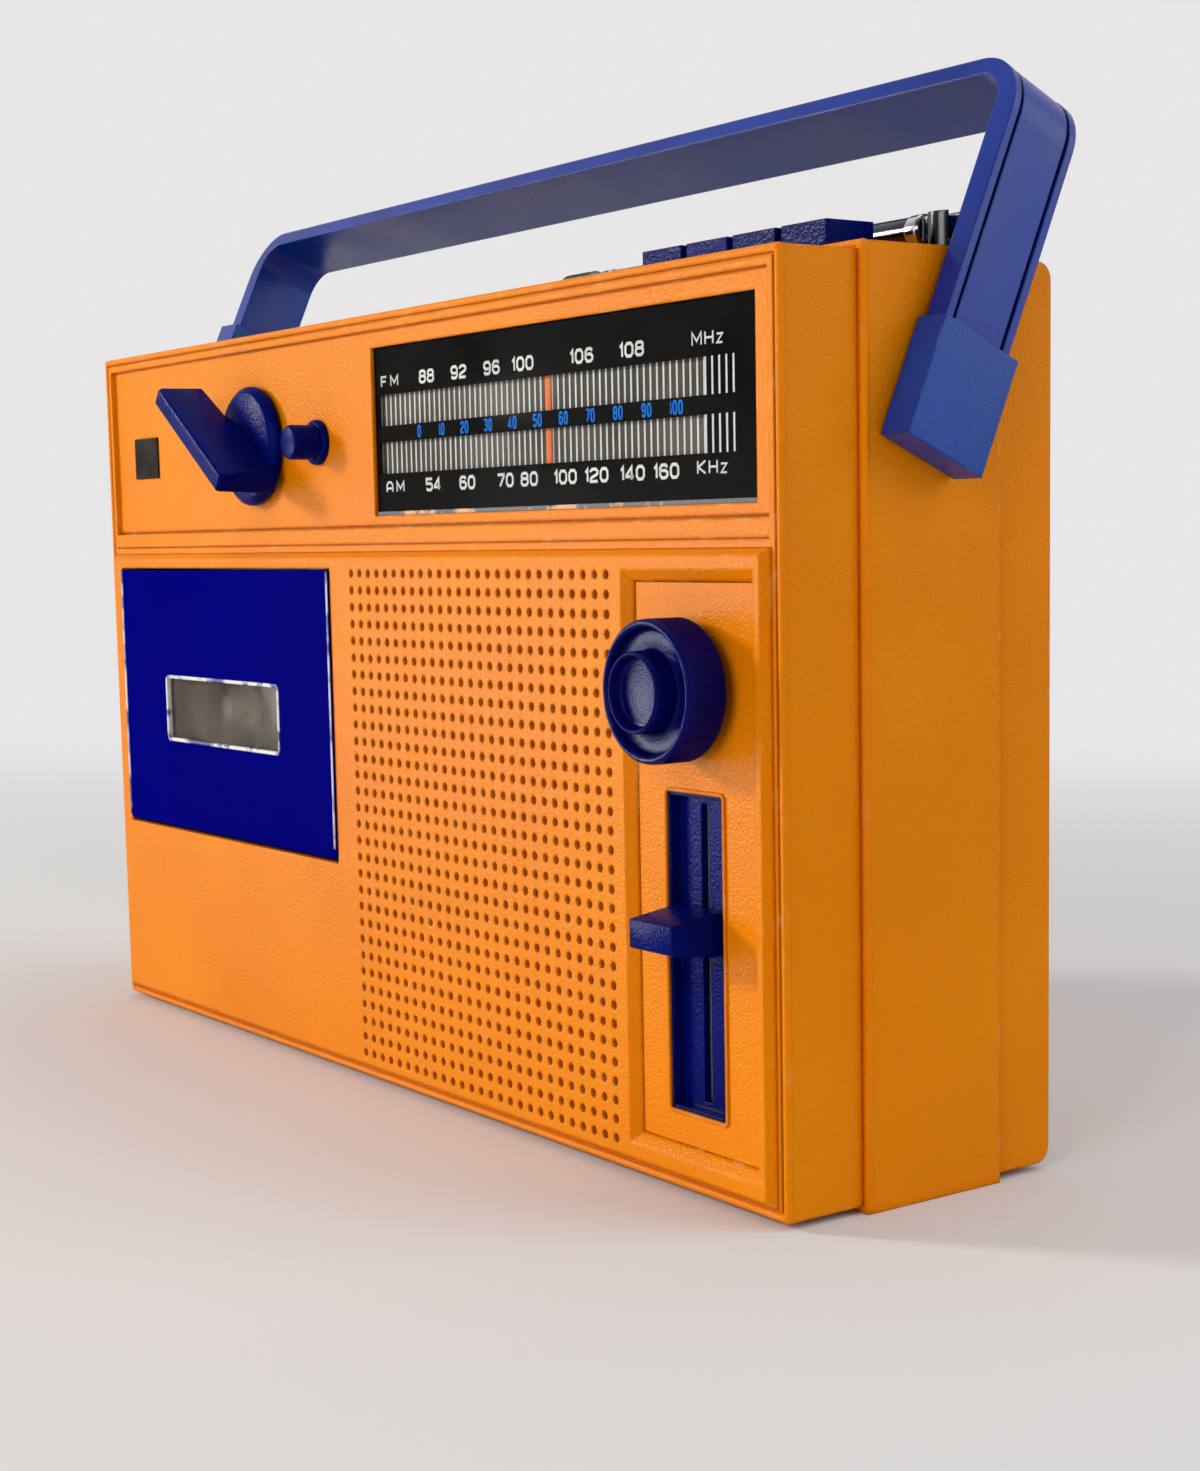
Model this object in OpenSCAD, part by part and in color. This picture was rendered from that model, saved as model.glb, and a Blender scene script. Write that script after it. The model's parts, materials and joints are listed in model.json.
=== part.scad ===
// Portable radio-cassette recorder: moulded case in three shells, tuning dial, cassette bay,
// speaker grille, thumb slider, piano keys, telescopic antenna and swing handle.
// Millimetres. X to the right, Y to the back, Z up. The origin is the centre of the underside.

/* [Case] */
// Width of the middle case
case_w = 301.6; // [298:0.2:330]
// Height of the case
case_h = 185; // [184:0.5:205]
// Depth of the middle case
mid_d = 35.4; // [34:0.2:44]
// Depth of the front shell
front_d = 19; // [18.8:0.1:24]
// Depth of the rear cover
rear_d = 15.5; // [14.5:0.1:22]
// Step from the middle case in to the front shell and the rear cover
step_in = 1.5; // [0.8:0.1:2]
// Wall thickness of the case
wall = 2.5; // [2.2:0.1:2.9]
// Rounding of the rear cover's top and bottom back edges
rear_round = 3.5; // [1:0.5:5]

/* [Front panel] */
// Thickness of the raised front panel
panel_t = 2; // [1.5:0.1:3]
// Height of the panel's top edge
panel_top = 129; // [128.6:0.1:129.6]
// Slope of the panel's edges
panel_bevel = 1.5; // [0.5:0.1:2]
// Diameter of the grille holes
grille_d = 1.9; // [1.4:0.1:2.4]
// Spacing of the grille holes
grille_pitch = 4; // [3.6:0.05:4.1]
// Grille holes in a row
grille_nx = 27; // [20:1:27]
// Rows of grille holes
grille_nz = 30; // [20:1:30]
// Depth of the recess round the dial
recess_d = 1.2; // [0.6:0.1:1.4]

/* [Dial] */
// Width of the dial opening
dial_w = 141.5; // [130:0.5:142]
// Height of the dial opening
dial_h = 38.9; // [34:0.1:39]
// Width of the dial pointer
pointer_w = 1.8; // [1:0.1:3]
// Radius of the cord drum to the cord's centre
drum_r = 30.9; // [26:0.1:31.5]
// Diameter of the dial cord
cord_d = 0.8; // [0.6:0.1:1]

/* [Controls] */
// Diameter of the tuning knob
knob_d = 28; // [22:0.5:30]
// Height of the tuning knob
knob_h = 9.6; // [7:0.1:12]
// Radius of the tuning shaft
shaft_r = 3; // [2.5:0.1:3.2]
// Width of the slider's thumb piece
thumb_w = 14; // [10:0.5:16]
// Diameter of the selector knob's disc
selector_d = 30; // [24:0.5:36]
// Length of the selector knob's fin
fin_l = 41; // [32:0.5:42]
// Height of the selector knob's fin in front of its disc
fin_h = 14.6; // [8:0.1:18]
// Radius of the push button
button_r = 4.2; // [3:0.1:4.5]
// Width of one piano key
key_w = 13.1; // [10:0.1:14.2]
// Spacing of the piano keys
key_pitch = 15; // [14.3:0.05:15.1]
// Height of the keys above the case
key_up = 5.3; // [4:0.1:8]

/* [Cassette bay] */
// Width of the door opening
door_w = 121.5; // [118:0.5:122]
// Height of the door opening
door_h = 72; // [70:0.5:72.5]
// Thickness of the door
door_t = 2.5; // [2:0.1:3.5]
// Width of the door's window
window_w = 65; // [50:0.5:80]
// Height of the door's window
window_h = 16.9; // [10:0.1:24]
// Spacing of the two reel spindles
reel_pitch = 42.5; // [42:0.1:43]
// Radius of the flywheel
flywheel_r = 19; // [15:0.5:20]

/* [Speaker] */
// Radius of the speaker's flange
speaker_r = 46; // [43:0.5:48]
// Radius of the speaker's magnet
magnet_r = 22; // [18:0.5:26]

/* [Handle] */
// Reach of the handle from its pivot to the top of its bar
handle_reach = 68.1; // [60:0.1:90]
// Width of the handle strap
strap_w = 18; // [14:0.5:20]
// Thickness of the handle's bar
bar_t = 3.5; // [3:0.1:5]
// Lean of the handle at rest
handle_lean = 24; // [0:1:40]
// Length of the left end block above the pivot
left_block_up = 39; // [12:0.5:45]

/* [Antenna] */
// Outer radius of the largest antenna tube
tube_r = 3; // [2.8:0.1:3.2]
// Length of the largest antenna tube
tube_l = 107.5; // [95:0.5:112]
// Radius of the jack sockets' bores
jack_r = 1.8; // [1.3:0.1:2.2]

/* [Batteries] */
// Length of the battery bay
bay_w = 203; // [160:1:210]
// Height of the battery bay
bay_h = 28; // [27:0.5:30]

/* [Hidden] */
$fn = 48;

// Gap between pieces that move past each other
gap = 0.3;
// Radial clearance of a running fit
run = 0.05;
// Overshoot of a cut past a face
cut = 1;
// Case planes: left, right, top, then from the front face to the back face
L = -case_w / 2;
R = case_w / 2;
T = case_h;
F0 = -mid_d / 2;
FF = F0 - front_d;
FI = FF + wall;
PF = FF - panel_t;
B0 = mid_d / 2;
BB = B0 + rear_d;
BI = BB - wall;
RF = FF + recess_d;
// Long case screws near the corners
screw_in = 6;
screw_low = 6;
screw_high = T - 17;
screw_r = 1.5;
screw_x = [L + screw_in, R - screw_in];
screw_z = [screw_low, screw_high];
boss_r = 4;
head_r = 3.2;
head_t = 2.2;
screw_tip = F0 - 7.3;
screw_seat = BB - 7.2;
// Raised rim and recess of the dial field
rim = 3.4;
// Fine groove round the rim and the two grooves of the band under the dial field
line_in = 1.3;
line_w = 0.6;
line_d = 0.5;
band_slot = 0.6;
band_low = panel_top + 1.4;
band_line = 0.4;
recess_low = T - 50;
recess_high = T - step_in - rim - 0.1;
// Front panel and the window for the control column
panel_in = 4.3;
panel_low = 3.5;
col_x0 = R - 49.3;
col_x1 = R - 7.5;
col_z0 = 8;
col_z1 = panel_top - 4.1;
col_bevel = 2.6;
// Height of the grille and of the speaker
sp_z = 65.8;
speaker_hole = speaker_r - 4;
flange_t = 1.5;
basket_back = FI + 18.2;
basket_t = 1.2;
basket_lip = 3;
basket_flare = 4;
basket_core = 6;
magnet_l = 12;
cone_edge = 4.3;
cone_roll = 6;
cone_front = 0.6;
cone_t = 0.7;
cone_deep = 12;
coil_r = 8;
coil_t = 1;
cap_rise = 1.6;
cap_t = 0.9;
// Dial opening
dial_x1 = R - 9.8;
dial_x0 = dial_x1 - dial_w;
dial_z1 = T - 8.9;
dial_z0 = dial_z1 - dial_h;
glass_lip = 2.5;
glass_t = 1;
glass_back = FI + glass_t;
pointer_y = glass_back + gap;
pointer_t = 0.7;
scale_y = pointer_y + pointer_t + gap;
scale_t = 1;
scale_top = T - 13.8;
pointer_x = R - 80.8;
cord_y = FI + 10.2;
guide_z = T - 16.2;
guide_path = 4.2;
guide_xl = dial_x0 + 8.5;
guide_xr = dial_x1 - 11;
cord_clear = 0.3;
drum_x = R - 84.8;
drum_z = T - 47;
drum_shaft_r = 2.5;
spindle_path = 4.7;
groove_w = cord_d + 2 * cord_clear;
flange_w = 1.2;
cord_top = guide_z + guide_path;
// Control column
knob_x = R - 28.4;
knob_z = 101.8;
knob_off = 2.5;
knob_back = FF - knob_off;
knob_front = knob_back - knob_h;
knob_rim = 1.8;
knob_sink = 2.3;
hub_up = 3;
hub_out = 8;
hub_rim = 1;
hub_sink = 2.6;
knurls = 120;
knurl_r = 0.3;
slide_x = R - 28.6;
slide_z = 54.3;
slide_low = 31;
slide_high = 21;
thumb_half = 4.2;
thumb_tip = 2.9;
thumb_out = 11.4;
stem_w = 1.8;
stem_l = 5;
groove_gap = 0.3;
slot_side = 1.8;
slot_end = 1.8;
slot_z0 = slide_z - slide_low - thumb_half - slot_end;
slot_z1 = slide_z + slide_high + thumb_half + slot_end;
plate_t = 1.5;
liner_t = 0.7;
liner_gap = 0.05;
pot_d = 10.4;
// Selector, button and indicator on the dial field
but_x = dial_x0 - 26.5;
sel_x = but_x - 32.4;
sel_z = T - 29.1;
sel_turn = 35;
sel_t = 3.4;
sel_off = 0.5;
sel_front = RF - sel_off - sel_t;
fin_w = 5;
fin_off = 3.3;
fin_sink = 1.6;
fin_end = [0.8, 2.6];
fin_heel = [13.9, 1.6];
sel_stem = 3.5;
switch_w = 30;
switch_h = 26;
switch_d = 16;
switch_bore = 10.5;
but_z = T - 29.5;
collar_t = 0.55;
collar_lip = 0.7;
collar_out = 1.8;
but_out = 8.6;
collar_r = button_r + run + collar_t;
but_press = 2.5;
ind_x = L + 24.8;
ind_z = T - 29.7;
ind_w = 14.8;
ind_h = 11;
// Piano keys
key_x0 = R - 70.1;
key_x1 = key_x0 + 3 * key_pitch + key_w;
key_f = F0 + 1.5;
key_d = 12;
key_low = T - 8.5;
key_y = F0 + 29.7;
key_z = T - 7;
key_shaft_r = 1.5;
hub_r = 3.2;
lever_w = 5;
lug_t = 1.3;
lug_low = T - 11;
// Cassette door and deck
door_x0 = L + 11.3;
door_x1 = door_x0 + door_w;
door_z0 = 53;
door_z1 = door_z0 + door_h;
door_gap = 0.3;
door_y = FF - gap;
door_zh = door_z0 + 2.5;
barrel_r = 2.2;
rod_r = 1.2;
rod_in = 1;
collar_w = 2;
collar_back = FI;
open_gap = 0.3;
door_cx = (door_x0 + door_x1) / 2;
// Grille and speaker, between the door and the control column
sp_x = (door_x1 + col_x0) / 2 + 2.95;
// Width between door and column that takes grille_nx columns of holes
grille_field = 119.5;
grille_cols = grille_nx + floor((col_x0 - door_x1 - grille_field) / grille_pitch + 0.001);
win_cz = 86.75;
guide_back = FI + 12.2;
deck_y = FI + 15.2;
deck_t = 1.5;
deck_x0 = L + 5.3;
deck_x1 = door_x1 + 7.5;
deck_z0 = 44;
deck_z1 = door_z1 + 9;
post_r = 2.5;
post_xl = deck_x0 + 2;
post_xr = deck_x1 - 2.5;
post_zl = deck_z0 + 2.5;
post_zh = deck_z1 - 2.5;
reel_x = [door_cx - reel_pitch / 2, door_cx + reel_pitch / 2];
reel_z = win_cz;
reel_tip = FI + 7.2;
reel_shaft = 1.5;
fly_x = door_cx + 23.75;
fly_z = 63;
fly_t = 6;
fly_y = deck_y + deck_t + 1.5;
capstan_r = 1.25;
bridge_t = 1.5;
bridge_y = deck_y - gap - bridge_t;
bridge_x0 = door_cx - 36.25;
bridge_x1 = fly_x + 13;
bridge_z0 = 46;
bridge_z1 = 56;
bridge_lift = 3.5;
roller_r = 5;
roller_z = fly_z - capstan_r - 0.4 - roller_r - bridge_lift;
pin_r = 1;
motor_x = door_cx - 39.25;
motor_z = 70;
motor_r = 13;
motor_l = 24;
motor_y = deck_y + deck_t + 9.5;
motor_shaft_r = 1;
pulley_r = 4;
belt_t = 1;
belt_w = 2.4;
belt_y = fly_y + fly_t / 2;
// Board, aerial rod and battery bay at the back
board_t = 1.6;
board_y = BB - 29.2;
board_x0 = R - 160.8;
board_x1 = R - 12.8;
board_z0 = 45;
board_z1 = T - 17;
strip_x0 = L + 25.8;
strip_z0 = T - 55;
ferrite_r = 5;
ferrite_y = board_y - 8;
ferrite_z = T - 25;
ferrite_x0 = strip_x0 + 2;
ferrite_l = 98;
rest_in = 8;
rest_w = 6;
rest_h = 8;
// Parts on the board: coil cans, capacitors, a chip and a transformer
can_x = board_x0 + 24;
can_w = 10;
can_pitch = 18;
can_h = 13;
cap_pitch = 22;
cap_h = 16;
cap_r = 5;
chip_x = board_x0 + 40;
chip_z = board_z0 + 50;
chip_w = 22;
chip_h = 7;
chip_t = 4;
trafo_x = board_x0 + 90;
trafo_z = board_z0 + 40;
trafo_w = 28;
trafo_h = 24;
trafo_t = 18;
bay_wall = 1.5;
bay_z0 = 6;
bay_y = BB - 28.7;
// Jack sockets in the left wall
jack_y = -2;
jack_z = [100, 120];
jack_out = 3;
jack_depth = 14;
// Handle
piv_y = 0;
piv_z = T - 28.8;
piv_r = 4;
piv_flange = 7;
piv_out = 5.9;
block_off = 0.7;
block_t = 7.5;
left_block_t = 10;
block_half = 12;
block_w = 20.6;
arm_off = 0.5;
arm_t = 5.3;
arm_x0 = R + block_off + arm_off;
arm_x1 = arm_x0 + arm_t;
bend_out = 13;
bend_in = 7;
inlay_depth = 1.2;
channel_w = strap_w - 3.6;
inlay_gap = 0.8;
// Antenna
ant_x = R - 5.2;
ant_y = B0 - 9.4;
ant_z = T + 4.3;
turret_r = 3.5;
turret_h = 6.8;
post_ar = 1.5;
post_lip = 0.8;
tongue_t = 3.4;
tongue_h = 2.4;
tongue_l = 4.6;
tilt_r = 1;
tube_wall = 0.7;
bore_1 = tube_r - tube_wall;
tube_2r = bore_1 - run;
bore_2 = tube_2r - tube_wall + run;
tube_3r = bore_2 - run;
tube_x1 = ant_x - tongue_l;
tube_x0 = tube_x1 - tube_l;
tip_l = 10;
tip_r = 3.6;

// Box between two corners
module bx(x0, x1, y0, y1, z0, z1) translate([x0, y0, z0]) cube([x1 - x0, y1 - y0, z1 - z0]);

// Cylinder along Y
module ycyl(x, z, y0, y1, r) translate([x, y0, z]) rotate([-90, 0, 0]) cylinder(r = r, h = y1 - y0);

// Cylinder along X
module xcyl(y, z, x0, x1, r) translate([x0, y, z]) rotate([0, 90, 0]) cylinder(r = r, h = x1 - x0);

// Cylinder along Z
module zcyl(x, y, z0, z1, r) translate([x, y, z0]) cylinder(r = r, h = z1 - z0);

// Solid of revolution about the Y direction, from points of radius and y
module yturn(x, z, pts) translate([x, 0, z]) rotate([-90, 0, 0]) rotate_extrude() polygon(pts);

// Plate whose four edges slope: x0..x1 and z0..z1 at y1, drawn in by s at y0
module sloped(x0, x1, z0, z1, y0, y1, s) {
    intersection() {
        translate([0, 0, z0 - 1])
            linear_extrude(z1 - z0 + 2)
                polygon([[x0 + s, y0], [x1 - s, y0], [x1, y1], [x0, y1]]);
        translate([x0 - 1, 0, 0])
            rotate([90, 0, 90])
                linear_extrude(x1 - x0 + 2)
                    polygon([[y0, z0 + s], [y0, z1 - s], [y1, z1], [y1, z0]]);
    }
}

// Places its child at the four case screws
module at_screws() {
    for (x = screw_x)
        for (z = screw_z)
            translate([x, 0, z])
                children();
}

// Angle of the outer tangent's normal from circle a to circle b, each [x, z, radius]
function tangent(a, b) =
    let (dx = b[0] - a[0], dz = b[1] - a[1], d = sqrt(dx * dx + dz * dz))
    atan2(dz, dx) - acos((a[2] - b[2]) / d);

// Rings of a loop round circles met anticlockwise: [x, z, normal angle]
function loop_rings(c, steps) =
    let (n = len(c))
    [for (i = [0:n - 1])
        let (
            a0 = tangent(c[(i + n - 1) % n], c[i]),
            a1 = tangent(c[i], c[(i + 1) % n]),
            turn = ((a1 - a0) % 360 + 360) % 360
        )
        for (k = [0:steps[i]])
            let (a = a0 + turn * k / steps[i])
            [c[i][0] + c[i][2] * cos(a), c[i][1] + c[i][2] * sin(a), a]];

// Closed loop of a small section [outward, along Y] swept along its rings in the plane y
module swept_loop(rings, section, y) {
    n = len(rings);
    m = len(section);
    pts = [for (r = rings)
        for (s = section)
            [r[0] + s[0] * cos(r[2]), y + s[1], r[1] + s[0] * sin(r[2])]];
    faces = [for (i = [0:n - 1])
        for (j = [0:m - 1])
            let (p = i * m, q = ((i + 1) % n) * m, k = (j + 1) % m)
            for (f = [[p + j, q + j, q + k], [p + j, q + k, p + k]])
                f];
    polyhedron(pts, faces);
}

module front_shell() color([0.93, 0.56, 0.13]) {
    difference() {
        union() {
            difference() {
                bx(L + step_in, R - step_in, FF, F0, step_in, T - step_in);
                bx(L + step_in + wall, R - step_in - wall, FI, F0 + cut, step_in + wall, T - step_in - wall);
            }
            intersection() {
                bx(L + step_in, R - step_in, FF + wall / 2, F0, step_in, T - step_in);
                union() {
                    for (x = screw_x) {
                        ycyl(x, screw_low, FF + wall / 2, F0, boss_r);
                        ycyl(x, screw_high, FI + 3.7, F0, boss_r);
                    }
                }
            }
            ycyl(knob_x, knob_z, FF + wall / 2, FI + 4, shaft_r + 2.5);
        }
        bx(L + step_in + rim, R - step_in - rim, FF - cut, RF, recess_low, recess_high);
        bx(L + step_in + rim, R - step_in - rim, FF - cut, RF + line_d, recess_low - band_slot, recess_low);
        bx(L + step_in + rim, R - step_in - rim, FF - cut, FF + line_d, band_low, band_low + band_line);
        rim_line();
        bx(door_x0 - collar_w - open_gap, door_x1 + collar_w + open_gap, FF - cut, FI + cut,
            door_z0 - collar_w - open_gap, door_z1 + collar_w + open_gap);
        ycyl(sp_x, sp_z, FF - cut, FI + cut, speaker_hole);
        bx(dial_x0, dial_x1, FF - cut, FI + cut, dial_z0, dial_z1);
        bx(ind_x - ind_w / 2, ind_x + ind_w / 2, FF - cut, FI + cut, ind_z - ind_h / 2, ind_z + ind_h / 2);
        ycyl(sel_x, sel_z, FF - cut, FI + cut, sel_stem + 0.7);
        ycyl(but_x, but_z, FF - cut, FI + cut, collar_r);
        ycyl(knob_x, knob_z, FF - cut, FI + 5, shaft_r + run);
        bx(slide_x - thumb_w / 2 - slot_side, slide_x + thumb_w / 2 + slot_side, FF - cut, FI + cut,
            slot_z0, slot_z1);
        at_screws() ycyl(0, 0, screw_tip - 2, F0 + cut, screw_r + 0.02);
    }
}

// Groove round the front face, just inside its edge
module rim_line() {
    d = step_in + line_in;
    difference() {
        bx(L + d, R - d, FF - cut, FF + line_d, d, T - d);
        bx(L + d + line_w, R - d - line_w, FF - 2 * cut, FF + line_d + cut, d + line_w, T - d - line_w);
    }
}

module front_panel() color([0.95, 0.58, 0.14]) {
    difference() {
        union() {
            sloped(L + panel_in, R - panel_in, panel_low, panel_top, PF, FF, panel_bevel);
            bx(door_x0 - collar_w, door_x1 + collar_w, PF + 0.5, collar_back,
                door_z0 - collar_w, door_z1 + collar_w);
        }
        bx(door_x0, door_x1, PF - cut, collar_back + cut, door_z0, door_z1);
        col_cut();
        xcyl(door_y, door_zh, door_x0 - rod_in, door_x1 + rod_in, rod_r + 0.02);
        for (i = [0:grille_cols - 1])
            for (k = [0:grille_nz - 1])
                ycyl(sp_x + (i - (grille_cols - 1) / 2) * grille_pitch,
                    sp_z + (k - (grille_nz - 1) / 2) * grille_pitch,
                    PF - cut, FF + cut, grille_d / 2, $fn = 24);
    }
}

// Bevelled window of the control column, wide at the front
module col_cut() {
    d = panel_t + 2 * cut;
    s = col_bevel * d / panel_t;
    x0 = col_x0 - col_bevel * cut / panel_t;
    x1 = col_x1 + col_bevel * cut / panel_t;
    z0 = col_z0 - col_bevel * cut / panel_t;
    z1 = col_z1 + col_bevel * cut / panel_t;
    intersection() {
        translate([0, 0, z0 - 1])
            linear_extrude(z1 - z0 + 2)
                polygon([[x0, PF - cut], [x1, PF - cut], [x1 - s, FF + cut], [x0 + s, FF + cut]]);
        translate([x0 - 1, 0, 0])
            rotate([90, 0, 90])
                linear_extrude(x1 - x0 + 2)
                    polygon([[PF - cut, z0], [PF - cut, z1], [FF + cut, z1 - s], [FF + cut, z0 + s]]);
    }
}

module mid_case() color([0.88, 0.52, 0.14]) {
    difference() {
        union() {
            difference() {
                bx(L, R, F0, B0, 0, T);
                bx(L + wall, R - wall, F0 - cut, B0 + cut, wall, T - wall);
            }
            intersection() {
                bx(L, R, F0, B0, 0, T);
                at_screws() ycyl(0, 0, F0, B0, boss_r);
            }
            for (x = [key_x0 - gap - lug_t, key_x1 + gap])
                bx(x, x + lug_t, key_y - 3.5, key_y + 3.5, lug_low, T - wall / 2);
        }
        at_screws() ycyl(0, 0, F0 - cut, B0 + cut, screw_r + 0.2);
        bx(key_x0 - 0.5, key_x1 + 0.5, F0 - cut, key_f + key_d + 0.5, T - wall - cut, T + cut);
        xcyl(key_y, key_z, key_x0 - gap - lug_t - cut, key_x1 + gap + lug_t + cut, key_shaft_r + 0.02);
        xcyl(piv_y, piv_z, L - cut, L + wall + cut, piv_r + 0.02);
        xcyl(piv_y, piv_z, R - wall - cut, R + cut, piv_r + 0.02);
        zcyl(ant_x, ant_y, T - wall - cut, T + cut, post_ar + run);
        for (z = jack_z)
            xcyl(jack_y, z, L - cut, L + wall + cut, jack_out + 0.02);
    }
}

module rear_cover() color([0.85, 0.5, 0.13]) {
    z0 = step_in;
    z1 = T - step_in;
    difference() {
        union() {
            difference() {
                translate([L + step_in, 0, 0])
                    rotate([90, 0, 90])
                        linear_extrude(case_w - 2 * step_in)
                            union() {
                                translate([B0, z0]) square([rear_d - rear_round, z1 - z0]);
                                translate([B0, z0 + rear_round]) square([rear_d, z1 - z0 - 2 * rear_round]);
                                for (z = [z0 + rear_round, z1 - rear_round])
                                    translate([BB - rear_round, z]) circle(r = rear_round);
                            }
                bx(L + step_in + wall, R - step_in - wall, B0 - cut, BI, z0 + wall, z1 - wall);
            }
            intersection() {
                bx(L + step_in, R - step_in, B0, BB - wall / 2, z0 + 0.5, z1 - 0.5);
                at_screws() ycyl(0, 0, B0, BB - wall / 2, boss_r + 1);
            }
            for (p = board_posts())
                ycyl(p[0], p[1], board_y + board_t, BB - wall / 2, 3);
        }
        at_screws() ycyl(0, 0, B0 - cut, BB + cut, screw_r + 0.2);
        at_screws() ycyl(0, 0, screw_seat, BB + cut, head_r + 0.4);
        bx(-bay_w / 2, bay_w / 2, BI - cut, BB + cut, bay_z0, bay_z0 + bay_h);
    }
}

// Where the rear cover's posts carry the board
function board_posts() = [
    [board_x0 + 6, board_z0 + 6],
    [board_x1 - 6, board_z0 + 6],
    [board_x1 - 6, board_z1 - 8],
    [board_x0 + 6, board_z1 - 8],
    [strip_x0 + 6, board_z1 - 18]
];

module battery_cover() color([0.85, 0.5, 0.13])
    bx(-bay_w / 2 + gap, bay_w / 2 - gap, BI + gap, BB, bay_z0 + gap, bay_z0 + bay_h - gap);

module case_screws() color([0.7, 0.7, 0.72])
    at_screws() {
        ycyl(0, 0, screw_tip, screw_seat + 0.5, screw_r);
        difference() {
            ycyl(0, 0, screw_seat, screw_seat + head_t, head_r);
            bx(-0.5, 0.5, screw_seat + head_t - 1, screw_seat + head_t + 1, -2.2, 2.2);
            bx(-2.2, 2.2, screw_seat + head_t - 1, screw_seat + head_t + 1, -0.5, 0.5);
        }
    }

module dial_glass() color([0.05, 0.05, 0.06, 0.6]) {
    bx(dial_x0 + 0.1, dial_x1 - 0.1, RF + 0.5, FI + glass_t / 2, dial_z0 + 0.1, dial_z1 - 0.1);
    bx(dial_x0 - glass_lip, dial_x1 + glass_lip, FI, glass_back, dial_z0 - glass_lip, dial_z1 + glass_lip);
}

module dial_scale() color([0.06, 0.06, 0.06]) {
    bx(dial_x0 - 1.5, dial_x1 + 1.5, scale_y, scale_y + scale_t, dial_z0 - 1.2, scale_top);
    for (x = [dial_x0 - 2, dial_x1 + 0.5])
        bx(x, x + 1.5, glass_back, scale_y + scale_t, dial_z0, scale_top - 1);
    for (x = [guide_xl, guide_xr]) {
        ycyl(x, guide_z, scale_y + scale_t / 2, cord_y + groove_w / 2 + flange_w,
            guide_path - cord_d / 2 - cord_clear);
        for (y = [cord_y - groove_w / 2 - flange_w, cord_y + groove_w / 2])
            ycyl(x, guide_z, y, y + flange_w, guide_path + 0.7);
    }
}

module dial_pointer() color([0.92, 0.45, 0.33]) {
    bx(pointer_x - pointer_w / 2, pointer_x + pointer_w / 2, pointer_y, pointer_y + pointer_t,
        dial_z0 + 8.8, scale_top + gap + 2.5);
    bx(pointer_x - 2, pointer_x + 2, pointer_y, cord_y - cord_d / 2 - cord_clear,
        scale_top + gap, cord_top + 1.5);
}

// Grooved wheel for the cord, about a Y axis
module cord_wheel(x, z, path) {
    w = groove_w / 2 + flange_w;
    ycyl(x, z, cord_y - w, cord_y + w, path - cord_d / 2 - cord_clear);
    for (y = [cord_y - w, cord_y + groove_w / 2])
        ycyl(x, z, y, y + flange_w, path + 0.8);
}

module cord_drum() color([0.75, 0.74, 0.7]) {
    w = groove_w / 2 + flange_w;
    difference() {
        cord_wheel(drum_x, drum_z, drum_r);
        for (a = [0:60:300])
            ycyl(drum_x + drum_r * 0.6 * cos(a), drum_z + drum_r * 0.6 * sin(a),
                cord_y - w - cut, cord_y + w + cut, drum_r * 0.2);
    }
    ycyl(drum_x, drum_z, cord_y, cord_y + w + 12, drum_shaft_r);
}

module tuning_capacitor() color([0.78, 0.78, 0.74]) {
    y0 = cord_y + groove_w / 2 + flange_w + 1.5;
    difference() {
        bx(drum_x - 10, drum_x + 10, y0, board_y, drum_z - 10, drum_z + 10);
        ycyl(drum_x, drum_z, y0 - cut, y0 + 12.5, drum_shaft_r + run);
    }
}

module dial_cord() color([0.5, 0.42, 0.3]) {
    wheels = [
        [guide_xl, guide_z, guide_path],
        [drum_x, drum_z, drum_r],
        [knob_x, knob_z, spindle_path],
        [guide_xr, guide_z, guide_path]
    ];
    swept_loop(loop_rings(wheels, [8, 16, 8, 8]),
        [for (i = [0:7]) [cord_d / 2 * cos(45 * i), cord_d / 2 * sin(45 * i)]], cord_y);
}

module tuning_knob() color([0.12, 0.15, 0.35]) {
    r = knob_d / 2;
    top = knob_front - hub_up;
    difference() {
        union() {
            ycyl(knob_x, knob_z, knob_front, knob_back, r);
            ycyl(knob_x, knob_z, top, knob_front + knob_sink, hub_out);
        }
        for (i = [0:knurls - 1])
            ycyl(knob_x + r * cos(360 / knurls * i), knob_z + r * sin(360 / knurls * i),
                knob_front + 1.2, knob_back - 1, knurl_r, $fn = 24);
        difference() {
            ycyl(knob_x, knob_z, knob_front - cut, knob_front + knob_sink, r - knob_rim);
            ycyl(knob_x, knob_z, top - cut, knob_front + knob_sink + cut, hub_out);
        }
        ycyl(knob_x, knob_z, top - cut, top + hub_sink, hub_out - hub_rim);
        ycyl(knob_x, knob_z, knob_front + 4, knob_back + cut, shaft_r + 0.02);
    }
}

module tuning_shaft() color([0.72, 0.72, 0.74]) {
    w = groove_w / 2 + flange_w;
    ycyl(knob_x, knob_z, knob_front + 4, cord_y, shaft_r);
    cord_wheel(knob_x, knob_z, spindle_path);
    ycyl(knob_x, knob_z, cord_y, cord_y + w + 7, shaft_r - 1);
}

module volume_thumb() color([0.1, 0.12, 0.3]) {
    y0 = FF - thumb_out;
    y1 = FI - gap;
    translate([slide_x - thumb_w / 2, 0, slide_z])
        rotate([90, 0, 90])
            linear_extrude(thumb_w)
                polygon([[y1, -thumb_half], [y1, thumb_half], [FF - 2, thumb_half], [y0, thumb_tip],
                    [y0, -thumb_tip], [FF - 2, -thumb_half]]);
    bx(slide_x - stem_w / 2, slide_x + stem_w / 2, y1 - 0.5, FI + plate_t + 4.7,
        slide_z - stem_l / 2, slide_z + stem_l / 2);
}

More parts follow.
